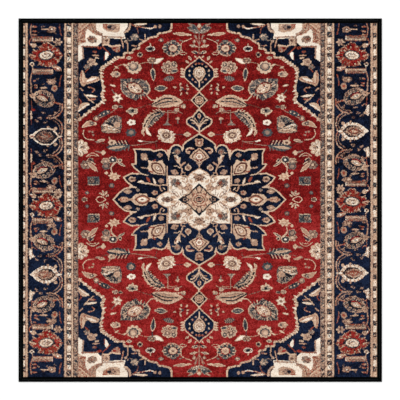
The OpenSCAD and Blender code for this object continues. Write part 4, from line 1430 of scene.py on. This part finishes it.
PUCKERS_FROM = 7.2  # the profile is puckered over this height, in mm
TAPE_STEPS = 360  # steps along one side
TURNS = {"north": 0, "west": 90, "south": 180, "east": 270}


def run_point(turn, u, t, z):
    """A point of an edge run, in metres: u in from the edge, t from -1 to 1 between the mitred ends."""
    x, y = t * (RUG_HALF - u), RUG_HALF - u
    c, s = round(math.cos(math.radians(turn))), round(math.sin(math.radians(turn)))
    return (x * c - y * s, x * s + y * c, z)


def tape_run(side, turn):
    """One side's tape with its shallow puckers, cut to a mitre at both ends."""
    ripple = rng.uniform(-1, 1, TAPE_STEPS + 1)
    ripple = np.convolve(np.pad(ripple, 2, mode="wrap"), (0.15, 0.22, 0.26, 0.22, 0.15), "valid")
    ripple *= np.sin(np.linspace(0, math.pi, TAPE_STEPS + 1)) ** 0.2
    found = []
    for k, t in enumerate(np.linspace(-1, 1, TAPE_STEPS + 1)):
        for u, z in TAPE_PROFILE:
            lift = PUCKER * ripple[k] * (z > PUCKERS_FROM) * (u > 1)
            found.append(run_point(turn, u * MM, t, (z + lift) * MM))
    n = len(TAPE_PROFILE)
    corner = np.arange(TAPE_STEPS * n).reshape(TAPE_STEPS, n)[:, :-1].ravel()
    strips = np.stack([corner, corner + n, corner + n + 1, corner + 1], axis=-1)
    piece = quad_mesh("tape_" + side, found, strips[:, ::-1], [BLACK_TAPE])
    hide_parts("binding_tape_" + side)
    width, cut = 0, 0
    for (u0, z0), (u1, z1) in zip(TAPE_PROFILE[:-1], TAPE_PROFILE[1:]):
        step = math.hypot(u1 - u0, z1 - z0) * MM
        width += step
        cut += step * 2 * (RUG_HALF - (u0 + u1) / 2 * MM)


STITCH_PITCH, STITCH_LENGTH = 0.0085, 0.0062
THREAD = 0.0008  # the thread's radius
SLANT = 0.15  # how far a stitch leans across the tape, in mm
# one stitch: share of its length, share of the thread's radius, and dip into the tape in radii
STITCH = ((-0.5, 0.35, 0.6), (-0.36, 0.95, 0.15), (0.0, 1.0, 0.0), (0.36, 0.95, 0.15), (0.5, 0.35, 0.6))
SIDES = 6  # of the thread's cross-section


def stitch_run(side, turn):
    """The row of lock stitches that shows in the tape's groove."""
    half = RUG_HALF - SEAM_U * MM - 0.006  # the row ends 6 mm before the mitre
    count = int(2 * half / STITCH_PITCH)
    found, strips = [], []
    for k in range(count):
        middle = -half + (k + 0.5) * 2 * half / count
        base = len(found)
        for t, swell, dip in STITCH:
            along = (middle + t * STITCH_LENGTH) / (RUG_HALF - SEAM_U * MM)
            for corner in range(SIDES):
                a = math.pi * corner / 3
                u = SEAM_U * MM + THREAD * swell * math.cos(a) + SLANT * MM * t
                z = SEAM_Z * MM + THREAD * (swell * math.sin(a) - dip)
                found.append(run_point(turn, u, along, z))
        last = base + SIDES * (len(STITCH) - 1)
        for ring in range(base, last, SIDES):
            for corner in range(SIDES):
                a, b = ring + corner, ring + (corner + 1) % SIDES
                strips.append((a, b, b + SIDES, a + SIDES))
        for a in (base, last):
            strips.append((a, a + 1, a + 2, a + 3))
            strips.append((a, a + 3, a + 4, a + 5))
    piece = quad_mesh("stitches_" + side, found, strips, [BLACK_THREAD])
    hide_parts("stitching_" + side)


def dress(name, material):
    """Gives a CAD node that stays as it is its material."""
    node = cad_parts[name]
    node.data.materials.clear()
    node.data.materials.append(material)
    return node


for side, turn in TURNS.items():
    tape_run(side, turn)
for side, turn in TURNS.items():
    stitch_run(side, turn)
    dress("edge_cord_" + side, CORD_COTTON)

# ---- the layers under the pile
cloth_low, cloth_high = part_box("backing_cloth")
CLOTH_STEPS = 200
SAG, CLEARANCE, UNEVEN = 0.18, 0.3, 0.06  # waves in the cloth, its height, its fine unevenness, in mm
steps = np.linspace(cloth_low[0], cloth_high[0], CLOTH_STEPS + 1)
cloth_x, cloth_y = np.meshgrid(steps, steps)
sag = SAG * MM * (np.sin(cloth_x * 23 + 1.3) * np.sin(cloth_y * 19 + 0.4))
cloth_z = cloth_low[2] + CLEARANCE * MM + sag + rng.uniform(-UNEVEN, UNEVEN, cloth_x.shape) * MM
index = np.arange(cloth_x.size).reshape(cloth_x.shape)
weft = np.stack([index[:-1, :-1], index[1:, :-1], index[1:, 1:], index[:-1, 1:]], axis=-1)
cloth = quad_mesh("backing_fabric", np.stack([cloth_x, cloth_y, cloth_z], axis=-1).reshape(-1, 3),
                  weft.reshape(-1, 4), [BACKING_WEAVE])
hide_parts("backing_cloth")

dress("latex_layer", LATEX)
primary = dress("primary_backing", PRIMARY_WEAVE)

# ---------------------------------------------------------------- floor, light and camera
FLOOR_SIZE = 40  # metres
FLOOR_GAP = 0.0002  # under the rug, in metres
SKY_STRENGTH = 0.66
SUN_STRENGTH, SUN_ANGLE = 1.75, 0.5
PHOTO_WIDTH = 2.0132  # metres of floor across the photo: the rug takes up 0.909 of it
LENS, SENSOR = 135, 36  # mm

bpy.ops.mesh.primitive_plane_add(size=FLOOR_SIZE)
floor = bpy.context.object
floor.name = "floor"
floor.location.z = cad_low[2] - FLOOR_GAP
floor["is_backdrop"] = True
paper = bpy.data.materials.new("floor_paper")
paper.use_nodes = True
paper.node_tree.nodes["Principled BSDF"].inputs["Base Color"].default_value = (0.95, 0.95, 0.95, 1)
paper.node_tree.nodes["Principled BSDF"].inputs["Roughness"].default_value = 0.9
floor.data.materials.append(paper)

world = bpy.data.worlds.new("studio")
bpy.context.scene.world = world
world.use_nodes = True
world.node_tree.nodes["Background"].inputs["Color"].default_value = (1, 1, 1, 1)
world.node_tree.nodes["Background"].inputs["Strength"].default_value = SKY_STRENGTH

bpy.ops.object.light_add(type="SUN", rotation=(math.radians(-26), math.radians(-20), 0))
sun = bpy.context.object
sun.name = "softbox_sun"
sun.data.energy = SUN_STRENGTH
sun.data.angle = SUN_ANGLE
sun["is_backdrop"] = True

bpy.ops.object.camera_add()
camera = bpy.context.object
camera.name = "camera"
camera.data.lens = LENS
camera.data.sensor_width = SENSOR
camera.location = (-0.001, 0.0007, PILE_TOP + PHOTO_WIDTH * LENS / SENSOR)
camera.rotation_euler = (0, 0, 0)
bpy.context.scene.camera = camera
bpy.context.scene.view_settings.view_transform = "Standard"
